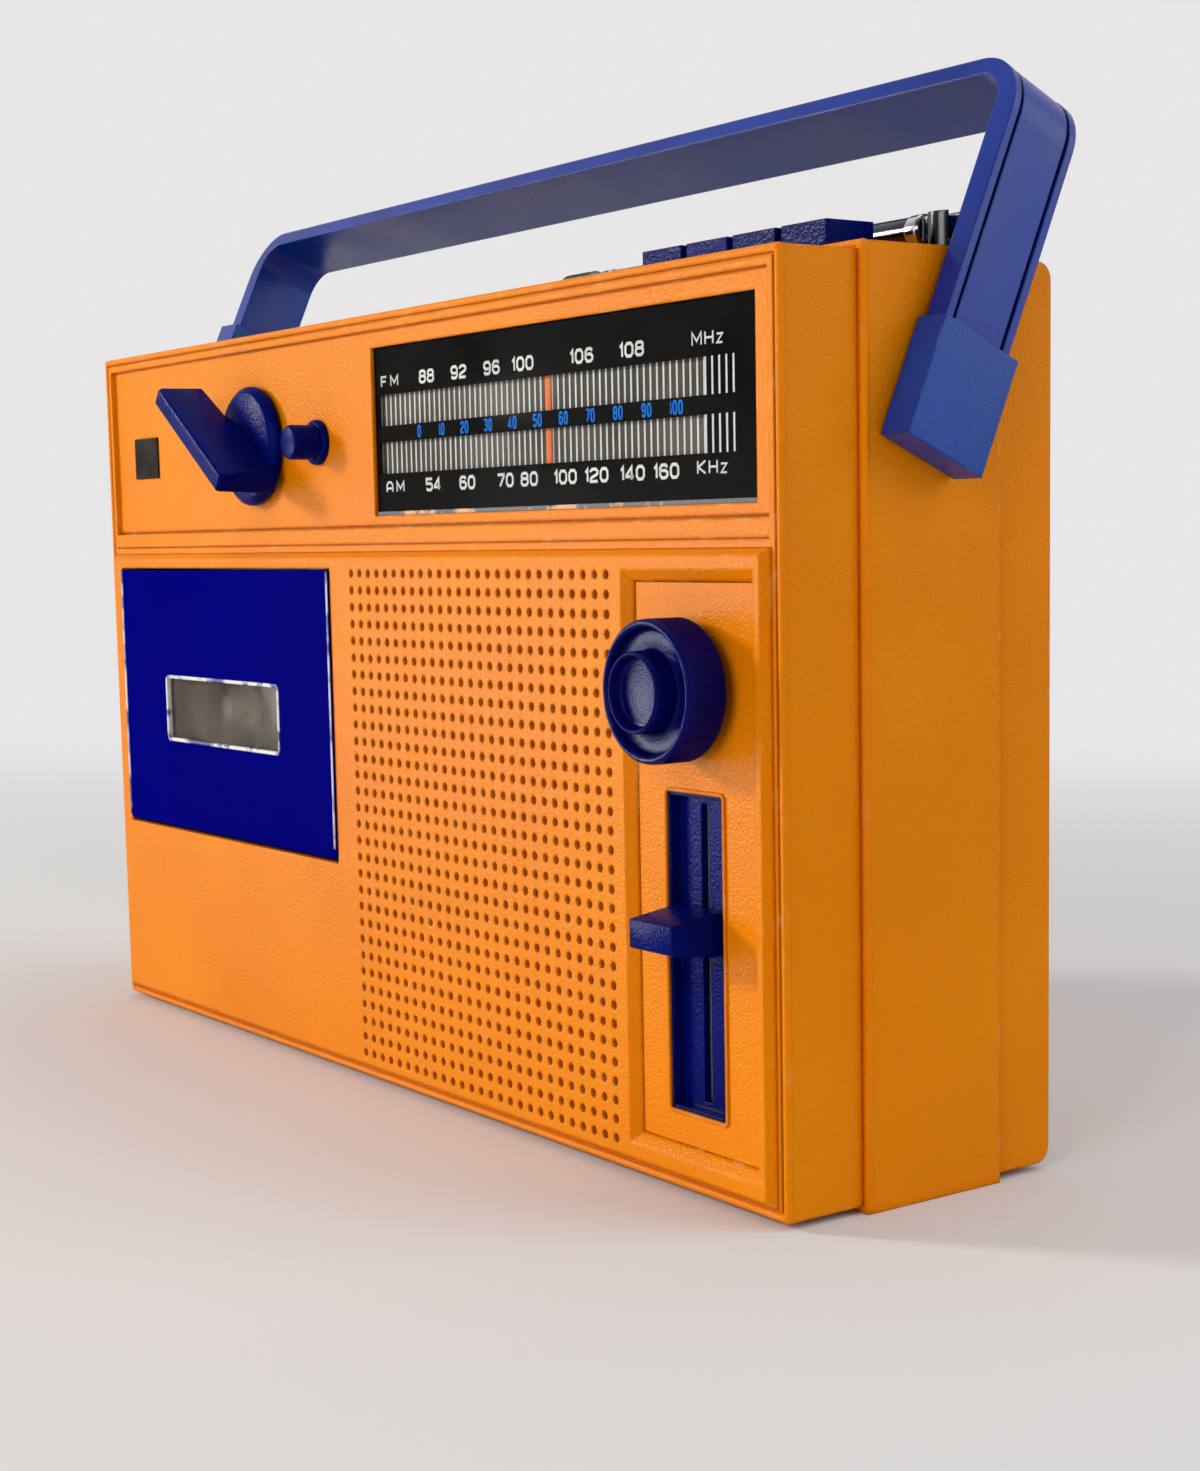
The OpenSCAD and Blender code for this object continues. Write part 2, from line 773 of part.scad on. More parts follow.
module slider_plate() color([0.1, 0.14, 0.4]) {
    w = thumb_w / 2 + slot_side - liner_gap;
    z0 = slot_z0 + liner_gap;
    z1 = slot_z1 - liner_gap;
    difference() {
        union() {
            bx(slide_x - w - 2.5, slide_x + w + 2.5, FI, FI + plate_t, slot_z0 - 3, slot_z1 + 3);
            bx(slide_x - w, slide_x + w, FF + 0.15, FI + plate_t / 2, z0, z1);
        }
        bx(slide_x - w + liner_t, slide_x + w - liner_t, FF - cut, FI, z0 + liner_t, z1 - liner_t);
        bx(slide_x - stem_w / 2 - groove_gap, slide_x + stem_w / 2 + groove_gap, FI - cut, FI + plate_t + cut,
            slide_z - slide_low - stem_l / 2 - 1.3, slide_z + slide_high + stem_l / 2 + 1.3);
    }
}

module slider_pot() color([0.6, 0.6, 0.58])
    difference() {
        bx(slide_x - 7, slide_x + 7, FI + plate_t, FI + plate_t + pot_d, slot_z0 - 2.5, slot_z1 + 2.5);
        bx(slide_x - stem_w / 2 - 0.5, slide_x + stem_w / 2 + 0.5, FI + plate_t - cut, FI + plate_t + 5.2,
            slide_z - slide_low - stem_l / 2 - 1.8, slide_z + slide_high + stem_l / 2 + 1.8);
    }

module selector_knob() color([0.12, 0.15, 0.35])
    translate([sel_x, 0, sel_z])
        rotate([0, sel_turn, 0]) {
            ycyl(0, 0, sel_front, sel_front + sel_t, selector_d / 2);
            selector_fin();
            ycyl(0, 0, sel_front + sel_t / 2, FI + 10, sel_stem);
        }

// Fin of the selector: square at its lower end, undercut at the end that points up
module selector_fin() {
    x = fin_l / 2;
    top = sel_front - fin_h;
    translate([-fin_off, 0, -fin_w / 2])
        linear_extrude(fin_w)
            polygon([[-x, top], [x, top], [x, sel_front + fin_sink], [0, sel_front + fin_sink],
                [fin_heel[0] - x, sel_front - fin_heel[1]], [fin_end[0] - x, sel_front - fin_end[1]]]);
}

module selector_switch() color([0.3, 0.3, 0.32])
    difference() {
        bx(sel_x - switch_w / 2, sel_x + switch_w / 2, FI, FI + switch_d,
            sel_z - switch_h / 2, sel_z + switch_h / 2);
        ycyl(sel_x, sel_z, FI - cut, FI + switch_bore, sel_stem + run);
    }

module lamp_button() color([0.1, 0.12, 0.3]) {
    ycyl(but_x, but_z, RF - but_out, FI + 3.5, button_r);
    ycyl(but_x, but_z, FI + 2.2 + gap, FI + 3.5, collar_r - 0.1);
}

module button_collar() color([0.1, 0.12, 0.3])
    difference() {
        union() {
            ycyl(but_x, but_z, RF - collar_out, FI + 2.2, collar_r - 0.02);
            ycyl(but_x, but_z, RF - 1.5, RF, collar_r + collar_lip);
        }
        ycyl(but_x, but_z, RF - collar_out - cut, FI + 2.2 + cut, button_r + run);
    }

module indicator_lens() color([0.03, 0.03, 0.03]) {
    bx(ind_x - ind_w / 2 + 0.05, ind_x + ind_w / 2 - 0.05, RF - 0.4, FI + 0.5,
        ind_z - ind_h / 2 + 0.05, ind_z + ind_h / 2 - 0.05);
    bx(ind_x - ind_w / 2 - 1.5, ind_x + ind_w / 2 + 1.5, FI, FI + 1.2,
        ind_z - ind_h / 2 - 1.5, ind_z + ind_h / 2 + 1.5);
}

module cassette_door() color([0.02, 0.03, 0.42]) {
    x0 = door_x0 + door_gap;
    x1 = door_x1 - door_gap;
    difference() {
        union() {
            bx(x0, x1, FF - door_t, FF, door_zh, door_z1 - 0.5);
            xcyl(door_y, door_zh, x0, x1, barrel_r);
            for (x = [x0 + 3, x1 - 4.6])
                bx(x, x + 1.6, FF - 0.5, guide_back, door_z0 + 7, door_z1 - 10);
        }
        xcyl(door_y, door_zh, x0 - cut, x1 + cut, rod_r + run);
        bx(door_cx - window_w / 2, door_cx + window_w / 2, FF - door_t - cut, FF + cut,
            win_cz - window_h / 2, win_cz + window_h / 2);
    }
}

module door_window() color([0.35, 0.3, 0.28, 0.5])
    bx(door_cx - window_w / 2, door_cx + window_w / 2, FF - 1.5, FF - 0.5,
        win_cz - window_h / 2, win_cz + window_h / 2);

module door_hinge_rod() color([0.7, 0.7, 0.72])
    xcyl(door_y, door_zh, door_x0 - rod_in, door_x1 + rod_in, rod_r);

module deck_plate() color([0.62, 0.63, 0.64])
    difference() {
        union() {
            bx(deck_x0, deck_x1, deck_y, deck_y + deck_t, deck_z0, deck_z1);
            for (x = [post_xl, post_xr])
                for (z = [post_zl, post_zh])
                    ycyl(x, z, FI, deck_y + deck_t / 2, post_r);
            for (z = [motor_z - 15, motor_z + 15])
                ycyl(motor_x, z, deck_y + deck_t / 2, motor_y, post_r);
        }
        for (x = reel_x)
            ycyl(x, reel_z, deck_y - cut, deck_y + deck_t + cut, reel_shaft + run);
        ycyl(fly_x, fly_z, deck_y - cut, deck_y + deck_t + cut, capstan_r + run);
    }

// Reel drive: flange, three-finned hub and shaft
module reel(x) {
    y1 = deck_y - gap;
    ycyl(x, reel_z, y1 - 1.5, y1, 6);
    ycyl(x, reel_z, reel_tip, y1 - 1, 3);
    for (a = [0:120:240])
        translate([x, 0, reel_z])
            rotate([0, a, 0])
                bx(0, 4.4, reel_tip + 2, y1 - 1, -0.6, 0.6);
    ycyl(x, reel_z, y1 - 1, deck_y + deck_t + 2, reel_shaft);
}

module supply_spindle() color([0.9, 0.89, 0.85]) reel(reel_x[0]);

module takeup_spindle() color([0.9, 0.89, 0.85]) reel(reel_x[1]);

module flywheel() color([0.55, 0.5, 0.4]) {
    ycyl(fly_x, fly_z, fly_y, fly_y + fly_t, flywheel_r);
    ycyl(fly_x, fly_z, deck_y + deck_t + gap, fly_y + 1, 4);
    ycyl(fly_x, fly_z, reel_tip, fly_y + 1, capstan_r);
}

module pinch_roller() color([0.12, 0.12, 0.12])
    difference() {
        ycyl(fly_x, roller_z, bridge_y - 5.7, bridge_y - gap, roller_r);
        ycyl(fly_x, roller_z, bridge_y - 5.7 - cut, bridge_y + cut, pin_r + run);
    }

module head_bridge() color([0.7, 0.71, 0.73]) {
    bx(bridge_x0, bridge_x1, bridge_y, bridge_y + bridge_t, bridge_z0, bridge_z1);
    ycyl(fly_x, roller_z, bridge_y - 6.2, bridge_y + bridge_t / 2, pin_r);
}

module tape_heads() color([0.75, 0.75, 0.78]) {
    z0 = bridge_z1 - 2;
    for (p = [[door_cx - 7, 13], [door_cx - 26, 10]])
        bx(p[0], p[0] + p[1], bridge_y - 9.7, bridge_y, z0, z0 + 8);
}

module motor() color([0.66, 0.66, 0.68]) {
    bx(motor_x - 6, motor_x + 6, motor_y, motor_y + 1.5, motor_z - 18, motor_z + 18);
    ycyl(motor_x, motor_z, motor_y + 1, motor_y + motor_l, motor_r);
    ycyl(motor_x, motor_z, belt_y - 2.5, motor_y + 1.2, motor_shaft_r);
}

module motor_pulley() color([0.8, 0.68, 0.35])
    difference() {
        ycyl(motor_x, motor_z, belt_y - 2, belt_y + 2, pulley_r);
        ycyl(motor_x, motor_z, belt_y - 2 - cut, belt_y + 2 + cut, motor_shaft_r + run);
    }

module drive_belt() color([0.08, 0.08, 0.08]) {
    off = gap + belt_t / 2;
    wheels = [[motor_x, motor_z, pulley_r + off], [fly_x, fly_z, flywheel_r + off]];
    t = belt_t / 2;
    w = belt_w / 2;
    swept_loop(loop_rings(wheels, [12, 16]), [[t, -w], [t, w], [-t, w], [-t, -w]], belt_y);
}

module speaker_frame() color([0.35, 0.35, 0.37]) {
    r = speaker_r - cone_edge;
    y = basket_back - basket_t;
    yturn(sp_x, sp_z, [[speaker_r, FI], [speaker_r, FI + flange_t], [speaker_r - basket_lip, FI + flange_t],
        [magnet_r + basket_flare, basket_back], [magnet_r - basket_core, basket_back],
        [magnet_r - basket_core, y],
        [magnet_r + basket_flare - cone_t, y], [r, FI + flange_t - cone_t / 4], [r, FI]]);
}

module speaker_cone() color([0.1, 0.1, 0.1]) {
    r = speaker_r - cone_edge;
    y = FI + cone_front;
    back = basket_back - basket_t;
    deep = FI + cone_deep;
    yturn(sp_x, sp_z, [[0, deep - cap_rise], [coil_r, deep], [speaker_r - cone_roll, y], [r, y],
        [r, y + cone_t], [speaker_r - cone_roll, y + cone_t], [coil_r + coil_t, deep + coil_t],
        [coil_r + coil_t, back], [coil_r, back], [coil_r, deep + cap_t], [0, deep + cap_t - cap_rise]]);
}

module speaker_magnet() color([0.25, 0.25, 0.26])
    yturn(sp_x, sp_z, [[0, basket_back], [magnet_r, basket_back], [magnet_r, basket_back + magnet_l],
        [0, basket_back + magnet_l]]);

module main_board() color([0.55, 0.42, 0.2])
    difference() {
        union() {
            bx(board_x0, board_x1, board_y, board_y + board_t, board_z0, board_z1);
            bx(strip_x0, board_x0 + 1, board_y, board_y + board_t, strip_z0, board_z1);
        }
        for (p = board_posts())
            ycyl(p[0], p[1], board_y - cut, board_y + board_t + cut, 1.5);
    }

module board_parts() color([0.7, 0.7, 0.68]) {
    y0 = board_y + board_t;
    for (i = [0:4])
        bx(can_x + can_pitch * i, can_x + can_w + can_pitch * i, y0, y0 + can_h, board_z1 - 2 * can_w - can_w,
            board_z1 - 2 * can_w);
    for (i = [0:3])
        ycyl(can_x + cap_pitch * i, board_z0 + cap_pitch, y0, y0 + cap_h, cap_r);
    bx(chip_x, chip_x + chip_w, y0, y0 + chip_t, chip_z, chip_z + chip_h);
    bx(trafo_x, trafo_x + trafo_w, y0, y0 + trafo_t, trafo_z, trafo_z + trafo_h);
    for (x = [ferrite_x0 + rest_in, ferrite_x0 + ferrite_l - rest_in - rest_w])
        difference() {
            bx(x, x + rest_w, ferrite_y, board_y, ferrite_z - rest_h, ferrite_z + rest_h);
            xcyl(ferrite_y, ferrite_z, x - cut, x + rest_w + cut, ferrite_r + 0.05);
        }
}

module ferrite_rod() color([0.2, 0.19, 0.18]) {
    xcyl(ferrite_y, ferrite_z, ferrite_x0, ferrite_x0 + ferrite_l, ferrite_r);
    xcyl(ferrite_y, ferrite_z, ferrite_x0 + 22, ferrite_x0 + 62, ferrite_r + 1.2);
}

module jack_sockets() color([0.15, 0.15, 0.15])
    for (z = jack_z)
        difference() {
            union() {
                xcyl(jack_y, z, L + 0.2, L + wall + 1, jack_out);
                bx(L + wall, L + jack_depth + 4, jack_y - 5, jack_y + 5, z - 5, z + 5);
            }
            xcyl(jack_y, z, L - cut, L + 0.2 + jack_depth, jack_r);
        }

// Handle outline in its own plane: X across, u up from the pivot, drawn in by d
module strap_outline(d) {
    x = arm_x1 - d;
    u = handle_reach - d;
    r = bend_out - d;
    union() {
        translate([-x, -1]) square([2 * x, u - r + 1]);
        translate([-x + r, -1]) square([2 * (x - r), u + 1]);
        for (s = [-1, 1])
            translate([s * (x - r), u - r]) circle(r = r);
    }
}

// Inside of the strap
module strap_inside() {
    x = arm_x0;
    u = handle_reach - bar_t;
    r = bend_in;
    union() {
        translate([-x, -2]) square([2 * x, u - r + 2]);
        translate([-x + r, -2]) square([2 * (x - r), u + 2]);
        for (s = [-1, 1])
            translate([s * (x - r), u - r]) circle(r = r);
    }
}

// Stands a handle piece on the pivot and leans it back
module leaned() translate([0, piv_y, piv_z]) rotate([-handle_lean, 0, 0]) children();

// Extrudes an outline in X and u to a width across the strap
module across(w) translate([0, w / 2, 0]) rotate([90, 0, 0]) linear_extrude(w) children();

// Below these lines the end blocks take over from the strap
module strap_feet() {
    bx(0, 2 * case_w, -strap_w, strap_w, -handle_reach, block_half);
    bx(-2 * case_w, 0, -strap_w, strap_w, -handle_reach, left_block_up);
}

module handle_frame() color([0.1, 0.13, 0.42])
    leaned()
        difference() {
            across(strap_w) difference() {
                strap_outline(0);
                strap_inside();
            }
            across(channel_w) difference() {
                translate([-2 * case_w, -2]) square([4 * case_w, 2 * handle_reach]);
                strap_outline(inlay_depth);
            }
            strap_feet();
        }

module handle_inlay() color([0.24, 0.28, 0.55])
    leaned()
        difference() {
            across(channel_w - 2 * inlay_gap) difference() {
                strap_outline(0.1);
                strap_outline(inlay_depth);
            }
            strap_feet();
        }

// End block on the right, or mirrored on the left, t thick and reaching u1 above the pivot
module end_block(u1, t) {
    difference() {
        bx(R + block_off, R + block_off + t, -block_w / 2, block_w / 2, -block_half, u1);
        xcyl(0, 0, R + block_off - cut, R + piv_out + gap, piv_r + run);
    }
}

module handle_end_right() color([0.14, 0.17, 0.36]) leaned() end_block(block_half, block_t);

module handle_end_left() color([0.14, 0.17, 0.36]) leaned() mirror([1, 0, 0])
    end_block(left_block_up, left_block_t);

module handle_pivots() color([0.7, 0.7, 0.72])
    for (s = [0, 1])
        mirror([s, 0, 0]) {
            xcyl(piv_y, piv_z, R - wall - 1.5, R - wall, piv_flange);
            xcyl(piv_y, piv_z, R - wall - 0.5, R + piv_out, piv_r);
        }

module antenna_base() color([0.8, 0.8, 0.82])
    difference() {
        union() {
            zcyl(ant_x, ant_y, T + gap, T + gap + turret_h, turret_r);
            zcyl(ant_x, ant_y, T - wall - gap - 1.2, T + gap + 0.5, post_ar);
            zcyl(ant_x, ant_y, T - wall - gap - 1.2, T - wall - gap, post_ar + post_lip);
        }
        difference() {
            bx(ant_x - turret_r - cut, ant_x + turret_r + cut,
                ant_y - tongue_t / 2 - gap, ant_y + tongue_t / 2 + gap,
                ant_z - tongue_h - gap, T + gap + turret_h + cut);
            ycyl(ant_x, ant_z, ant_y - turret_r, ant_y + turret_r, tilt_r);
        }
    }

module antenna_tube_1() color([0.85, 0.85, 0.87])
    difference() {
        union() {
            xcyl(ant_y, ant_z, tube_x0, tube_x1, tube_r);
            intersection() {
                bx(tube_x1 - 4, ant_x, ant_y - tongue_t / 2, ant_y + tongue_t / 2,
                    ant_z - tongue_h, ant_z + tongue_h);
                xcyl(ant_y, ant_z, tube_x1 - 4, ant_x + 1, tube_r);
            }
            ycyl(ant_x, ant_z, ant_y - tongue_t / 2, ant_y + tongue_t / 2, tongue_h);
        }
        ycyl(ant_x, ant_z, ant_y - tongue_t, ant_y + tongue_t, tilt_r + run);
        xcyl(ant_y, ant_z, tube_x0 - cut, tube_x1 - 8, bore_1);
    }

module antenna_tube_2() color([0.85, 0.85, 0.87])
    difference() {
        xcyl(ant_y, ant_z, tube_x0 - 2, tube_x1 - 10, tube_2r);
        xcyl(ant_y, ant_z, tube_x0 - 2 - cut, tube_x1 - 11, bore_2);
    }

module antenna_tube_3() color([0.3, 0.3, 0.32]) {
    xcyl(ant_y, ant_z, tube_x0 - 5, tube_x1 - 12, tube_3r);
    xcyl(ant_y, ant_z, tube_x0 - 4 - tip_l, tube_x0 - 4, tip_r);
}

module antenna_clip() color([0.15, 0.15, 0.16]) {
    y0 = ant_y - tube_r - gap - 1.4;
    bx(tube_x0 - 1.5, tube_x0 + 5, y0, ant_y + 4.7, T, ant_z - tube_r - gap);
    bx(tube_x0 - 1.5, tube_x0 + 5, y0, y0 + 1.4, T, ant_z + 1);
}

module battery_box() color([0.2, 0.2, 0.21])
    difference() {
        bx(-bay_w / 2 - bay_wall, bay_w / 2 + bay_wall, bay_y - bay_wall, BI,
            bay_z0 - bay_wall, bay_z0 + bay_h + bay_wall);
        bx(-bay_w / 2, bay_w / 2, bay_y, BI + cut, bay_z0, bay_z0 + bay_h);
    }

module battery_contacts() color([0.8, 0.8, 0.78])
    for (s = [0, 1])
        mirror([s, 0, 0]) {
            bx(bay_w / 2 - 0.6, bay_w / 2, bay_y + 6, bay_y + 20, bay_z0 + 6, bay_z0 + bay_h - 6);
            xcyl(bay_y + 13, bay_z0 + bay_h / 2, bay_w / 2 - 1.4, bay_w / 2 - 0.3, 3);
        }

module key_shaft() color([0.72, 0.72, 0.74])
    xcyl(key_y, key_z, key_x0 - gap - lug_t, key_x1 + gap + lug_t, key_shaft_r);

// Piano key i from the left: cap, lever and hub
module piano_key(i) {
    x0 = key_x0 + i * key_pitch;
    xm = x0 + key_w / 2;
    difference() {
        union() {
            bx(x0, x0 + key_w, key_f, key_f + key_d, key_low, T + key_up);
            bx(xm - lever_w / 2, xm + lever_w / 2, key_f + key_d - 1, key_y, key_low, key_low + 3);
            xcyl(key_y, key_z, x0, x0 + key_w, hub_r);
        }
        xcyl(key_y, key_z, x0 - cut, x0 + key_w + cut, key_shaft_r + run);
    }
}

module record_key() color([0.1, 0.12, 0.38]) piano_key(0);

module play_key() color([0.1, 0.12, 0.38]) piano_key(1);

module wind_key() color([0.1, 0.12, 0.38]) piano_key(2);

module stop_key() color([0.1, 0.12, 0.38]) piano_key(3);

front_shell();
front_panel();
mid_case();
rear_cover();
battery_cover();
case_screws();
dial_glass();
dial_scale();
dial_pointer();
tuning_capacitor();
cord_drum();
dial_cord();
tuning_knob();
tuning_shaft();
volume_thumb();
slider_plate();
slider_pot();
selector_knob();
selector_switch();
lamp_button();
button_collar();
indicator_lens();
cassette_door();
door_window();
door_hinge_rod();
deck_plate();
supply_spindle();
takeup_spindle();
flywheel();
pinch_roller();
tape_heads();
head_bridge();
motor();
motor_pulley();
drive_belt();
speaker_frame();
speaker_cone();
speaker_magnet();
main_board();
board_parts();
ferrite_rod();
jack_sockets();
handle_frame();
handle_inlay();
handle_end_right();
handle_end_left();
handle_pivots();
antenna_base();
antenna_tube_1();
antenna_tube_2();
antenna_tube_3();
antenna_clip();
battery_box();
battery_contacts();
key_shaft();
record_key();
play_key();
wind_key();
stop_key();
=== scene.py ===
# %% [markdown]
# # A portable radio-cassette recorder
# The recorder is an orange moulded case with blue controls, a black dial, a cassette door and
# a swing handle. Its solid model is loaded first as a fixed frame. Walls, keys and the handle
# keep their solids and get a finish. Knobs, the push button, the thumb slider and the dial's
# printing are made again here as surfaces, because their rounded edges and fine marks are what
# the eye reads first. Lengths are in millimetres until they become points.

# %% Load the frame
import json
import math
import bpy
import bmesh
import numpy as np
from mathutils import Euler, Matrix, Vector


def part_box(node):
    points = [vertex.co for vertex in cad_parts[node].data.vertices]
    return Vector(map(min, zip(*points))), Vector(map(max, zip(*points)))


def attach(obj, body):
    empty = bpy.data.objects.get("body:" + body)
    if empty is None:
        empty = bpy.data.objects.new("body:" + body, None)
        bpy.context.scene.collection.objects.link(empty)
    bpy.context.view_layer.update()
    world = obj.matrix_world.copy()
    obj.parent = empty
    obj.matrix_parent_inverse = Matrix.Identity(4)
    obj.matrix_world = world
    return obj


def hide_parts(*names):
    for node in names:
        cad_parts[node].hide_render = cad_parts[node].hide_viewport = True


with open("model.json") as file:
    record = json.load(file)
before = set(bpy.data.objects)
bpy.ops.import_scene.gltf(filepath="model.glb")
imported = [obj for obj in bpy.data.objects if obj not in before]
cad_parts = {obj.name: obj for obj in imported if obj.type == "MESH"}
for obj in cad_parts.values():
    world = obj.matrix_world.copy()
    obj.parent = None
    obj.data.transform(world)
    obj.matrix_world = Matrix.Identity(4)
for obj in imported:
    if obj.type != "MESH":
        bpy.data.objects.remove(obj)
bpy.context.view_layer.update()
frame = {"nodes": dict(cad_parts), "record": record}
node = frame["nodes"]
MM = 0.001

# %% [markdown]
# ## The camera
# The photograph was taken close to the recorder's right side, a little above its middle, with
# the picture cropped so that the lens axis is below its centre. A long lens and a small upward
# shift give the same perspective without tilting the verticals any further.

# %% Camera
CAMERA_AT = (0.47424, -0.30908, 0.13186)
CAMERA_TURN = (83.412, 1.124, 54.516)
cam_data = bpy.data.cameras.new("camera")
cam_data.sensor_width = 36
cam_data.lens = 56.25
cam_data.shift_y = 0.0438
cam = bpy.data.objects.new("camera", cam_data)
cam.location = CAMERA_AT
cam.rotation_euler = Euler([math.radians(a) for a in CAMERA_TURN], "XYZ")
cam_data.clip_start = 0.01
cam_data.clip_end = 50
bpy.context.collection.objects.link(cam)
bpy.context.scene.camera = cam
print("camera", cam_data.lens, tuple(cam.location))

# %% [markdown]
# ## Surfaces from arrays
# Every new piece is a grid of points: rings stacked along a direction, or a profile turned
# about an axis. One helper joins such a grid into faces and closes its ends, so each piece is
# only a formula for its points.


# %% Grid to mesh
def skin(name, points, material, body, closed_rows=False, sharp=40):
    """Quads between neighbouring rings of points[ring, step]; ends filled unless rings close up."""
    n, m, _ = points.shape
    i = np.arange(n if closed_rows else n - 1)[:, None]
    j = np.arange(m)[None, :]
    i2, j2 = (i + 1) % n, (j + 1) % m
    quads = np.stack([i * m + j, i * m + j2, i2 * m + j2, i2 * m + j], -1).reshape(-1, 4)
    faces = quads.tolist()
    if not closed_rows:
        faces += [list(range(m))[::-1], list(range((n - 1) * m, n * m))]
    mesh = bpy.data.meshes.new(name)
    mesh.from_pydata(points.reshape(-1, 3).tolist(), [], faces)
    return settle(name, mesh, material, body, sharp)


def settle(name, mesh, material, body, sharp):
    """Turns the faces outwards, shades them smooth up to an angle and rides the piece on its body."""
    bm = bmesh.new()
    bm.from_mesh(mesh)
    bmesh.ops.remove_doubles(bm, verts=bm.verts, dist=1e-7)
    bmesh.ops.recalc_face_normals(bm, faces=bm.faces)
    bm.to_mesh(mesh)
    bm.free()
    mesh.polygons.foreach_set("use_smooth", np.ones(len(mesh.polygons), bool))
    mesh.set_sharp_from_angle(angle=math.radians(sharp))
    obj = bpy.data.objects.new(name, mesh)
    obj.data.materials.append(material)
    bpy.context.collection.objects.link(obj)
    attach(obj, body)
    return obj


def rounded_ring(w, h, r, n=6):
    """Rounded rectangle of sides w and h: four corner arcs of radius r, anticlockwise, as (a, b)."""
    r = min(r, w / 2 - 1e-6, h / 2 - 1e-6)
    a = np.radians(np.linspace(0, 90, n))[None, :] + np.radians([0, 90, 180, 270])[:, None]
    cx = (np.array([1, -1, -1, 1]) * (w / 2 - r))[:, None]
    cy = (np.array([1, 1, -1, -1]) * (h / 2 - r))[:, None]
    return np.stack([cx + r * np.cos(a), cy + r * np.sin(a)], -1).reshape(-1, 2)


def placed(abc, origin, a_axis, b_axis, c_axis):
    """Points origin + a A + b B + c C, in millimetres, turned to metres."""
    axes = np.array([a_axis, b_axis, c_axis], float)
    return (np.array(origin, float) + abc @ axes) * MM


def turned(name, profile, origin, axes, material, body, n=96, knurl=None, sharp=35):
    """Profile (radius, height) turned about C; a knurl (count, depth, from, to) waves the radius."""
    p = np.array(profile, float)
    t = np.linspace(0, 2 * np.pi, n, endpoint=False)
    r = np.repeat(p[:, :1], n, 1)
    if knurl:
        count, depth, c0, c1 = knurl
        on = ((p[:, 1] >= min(c0, c1)) & (p[:, 1] <= max(c0, c1))).astype(float)[:, None]
        r = r - on * depth * (0.5 + 0.5 * np.cos(count * t))[None, :]
    abc = np.stack([r * np.cos(t), r * np.sin(t), np.repeat(p[:, 1:], n, 1)], -1)
    return skin(name, placed(abc, origin, *axes), material, body, sharp=sharp)


FRONT = ((1, 0, 0), (0, 0, 1), (0, -1, 0))
print("front axes", FRONT)

# %% [markdown]
# ## Effects that several finishes share
# Moulded plastic is never one flat colour. Its skin has a fine grain and its paint is thicker in
# some places than in others. Edges are painted lighter, partly as wear and partly as a painted
# highlight, and corners and gaps get a painted shade. Each of these is a node group with its own
# inputs, so that every finish can use it with its own strength.


# %% Node helpers and groups
def tint(r, g, b):
    """Linear colour of an sRGB triple from 0 to 255."""
    c = np.array([r, g, b]) / 255
    lin = np.where(c <= 0.04045, c / 12.92, ((c + 0.055) / 1.055) ** 2.4)
    return (*lin.tolist(), 1.0)


def add(tree, kind, inputs=(), **props):
    """New node of a tree with its properties set and its inputs given as values or sockets."""
    made = tree.nodes.new("ShaderNode" + kind)
    for key, value in props.items():
        setattr(made, key, value)
    for key, value in dict(inputs).items():
        if isinstance(value, bpy.types.NodeSocket):
            tree.links.new(value, made.inputs[key])
        else:
            made.inputs[key].default_value = value
    return made


def new_group(name, inputs, outputs):
    """Empty node group with float inputs and outputs; returns its tree and its two end nodes."""
    tree = bpy.data.node_groups.new(name, "ShaderNodeTree")
    for key, value in inputs.items():
        socket = tree.interface.new_socket(key, in_out="INPUT", socket_type="NodeSocketFloat")
        socket.default_value = value
    for key, kind in outputs.items():
        tree.interface.new_socket(key, in_out="OUTPUT", socket_type=kind)
    return tree, tree.nodes.new("NodeGroupInput"), tree.nodes.new("NodeGroupOutput")


def grain_group():
    """Height of a fine pebbled skin and a slow mottle of the paint, from noise on the object's place."""
    tree, start, end = new_group(
        "moulded_grain", {"Scale": 900.0, "Mottle Scale": 25.0, "Low": 0.35, "High": 0.65},
        {"Height": "NodeSocketFloat", "Mottle": "NodeSocketFloat"})
    at = add(tree, "TexCoord").outputs["Object"]
    fine = add(tree, "TexNoise", {"Vector": at, "Scale": start.outputs["Scale"], "Detail": 3.0})
    pebble = add(tree, "TexVoronoi", {"Vector": at, "Scale": start.outputs["Scale"]},
                 feature="SMOOTH_F1")
    both = add(tree, "Math", {0: fine.outputs["Fac"], 1: pebble.outputs["Distance"]},
               operation="SUBTRACT")
    slow = add(tree, "TexNoise", {"Vector": at, "Scale": start.outputs["Mottle Scale"],
                                  "Detail": 4.0})
    span = add(tree, "MapRange", {"Value": slow.outputs["Fac"], "From Min": start.outputs["Low"],
                                  "From Max": start.outputs["High"]})
    tree.links.new(both.outputs[0], end.inputs["Height"])
    tree.links.new(span.outputs[0], end.inputs["Mottle"])
    return tree


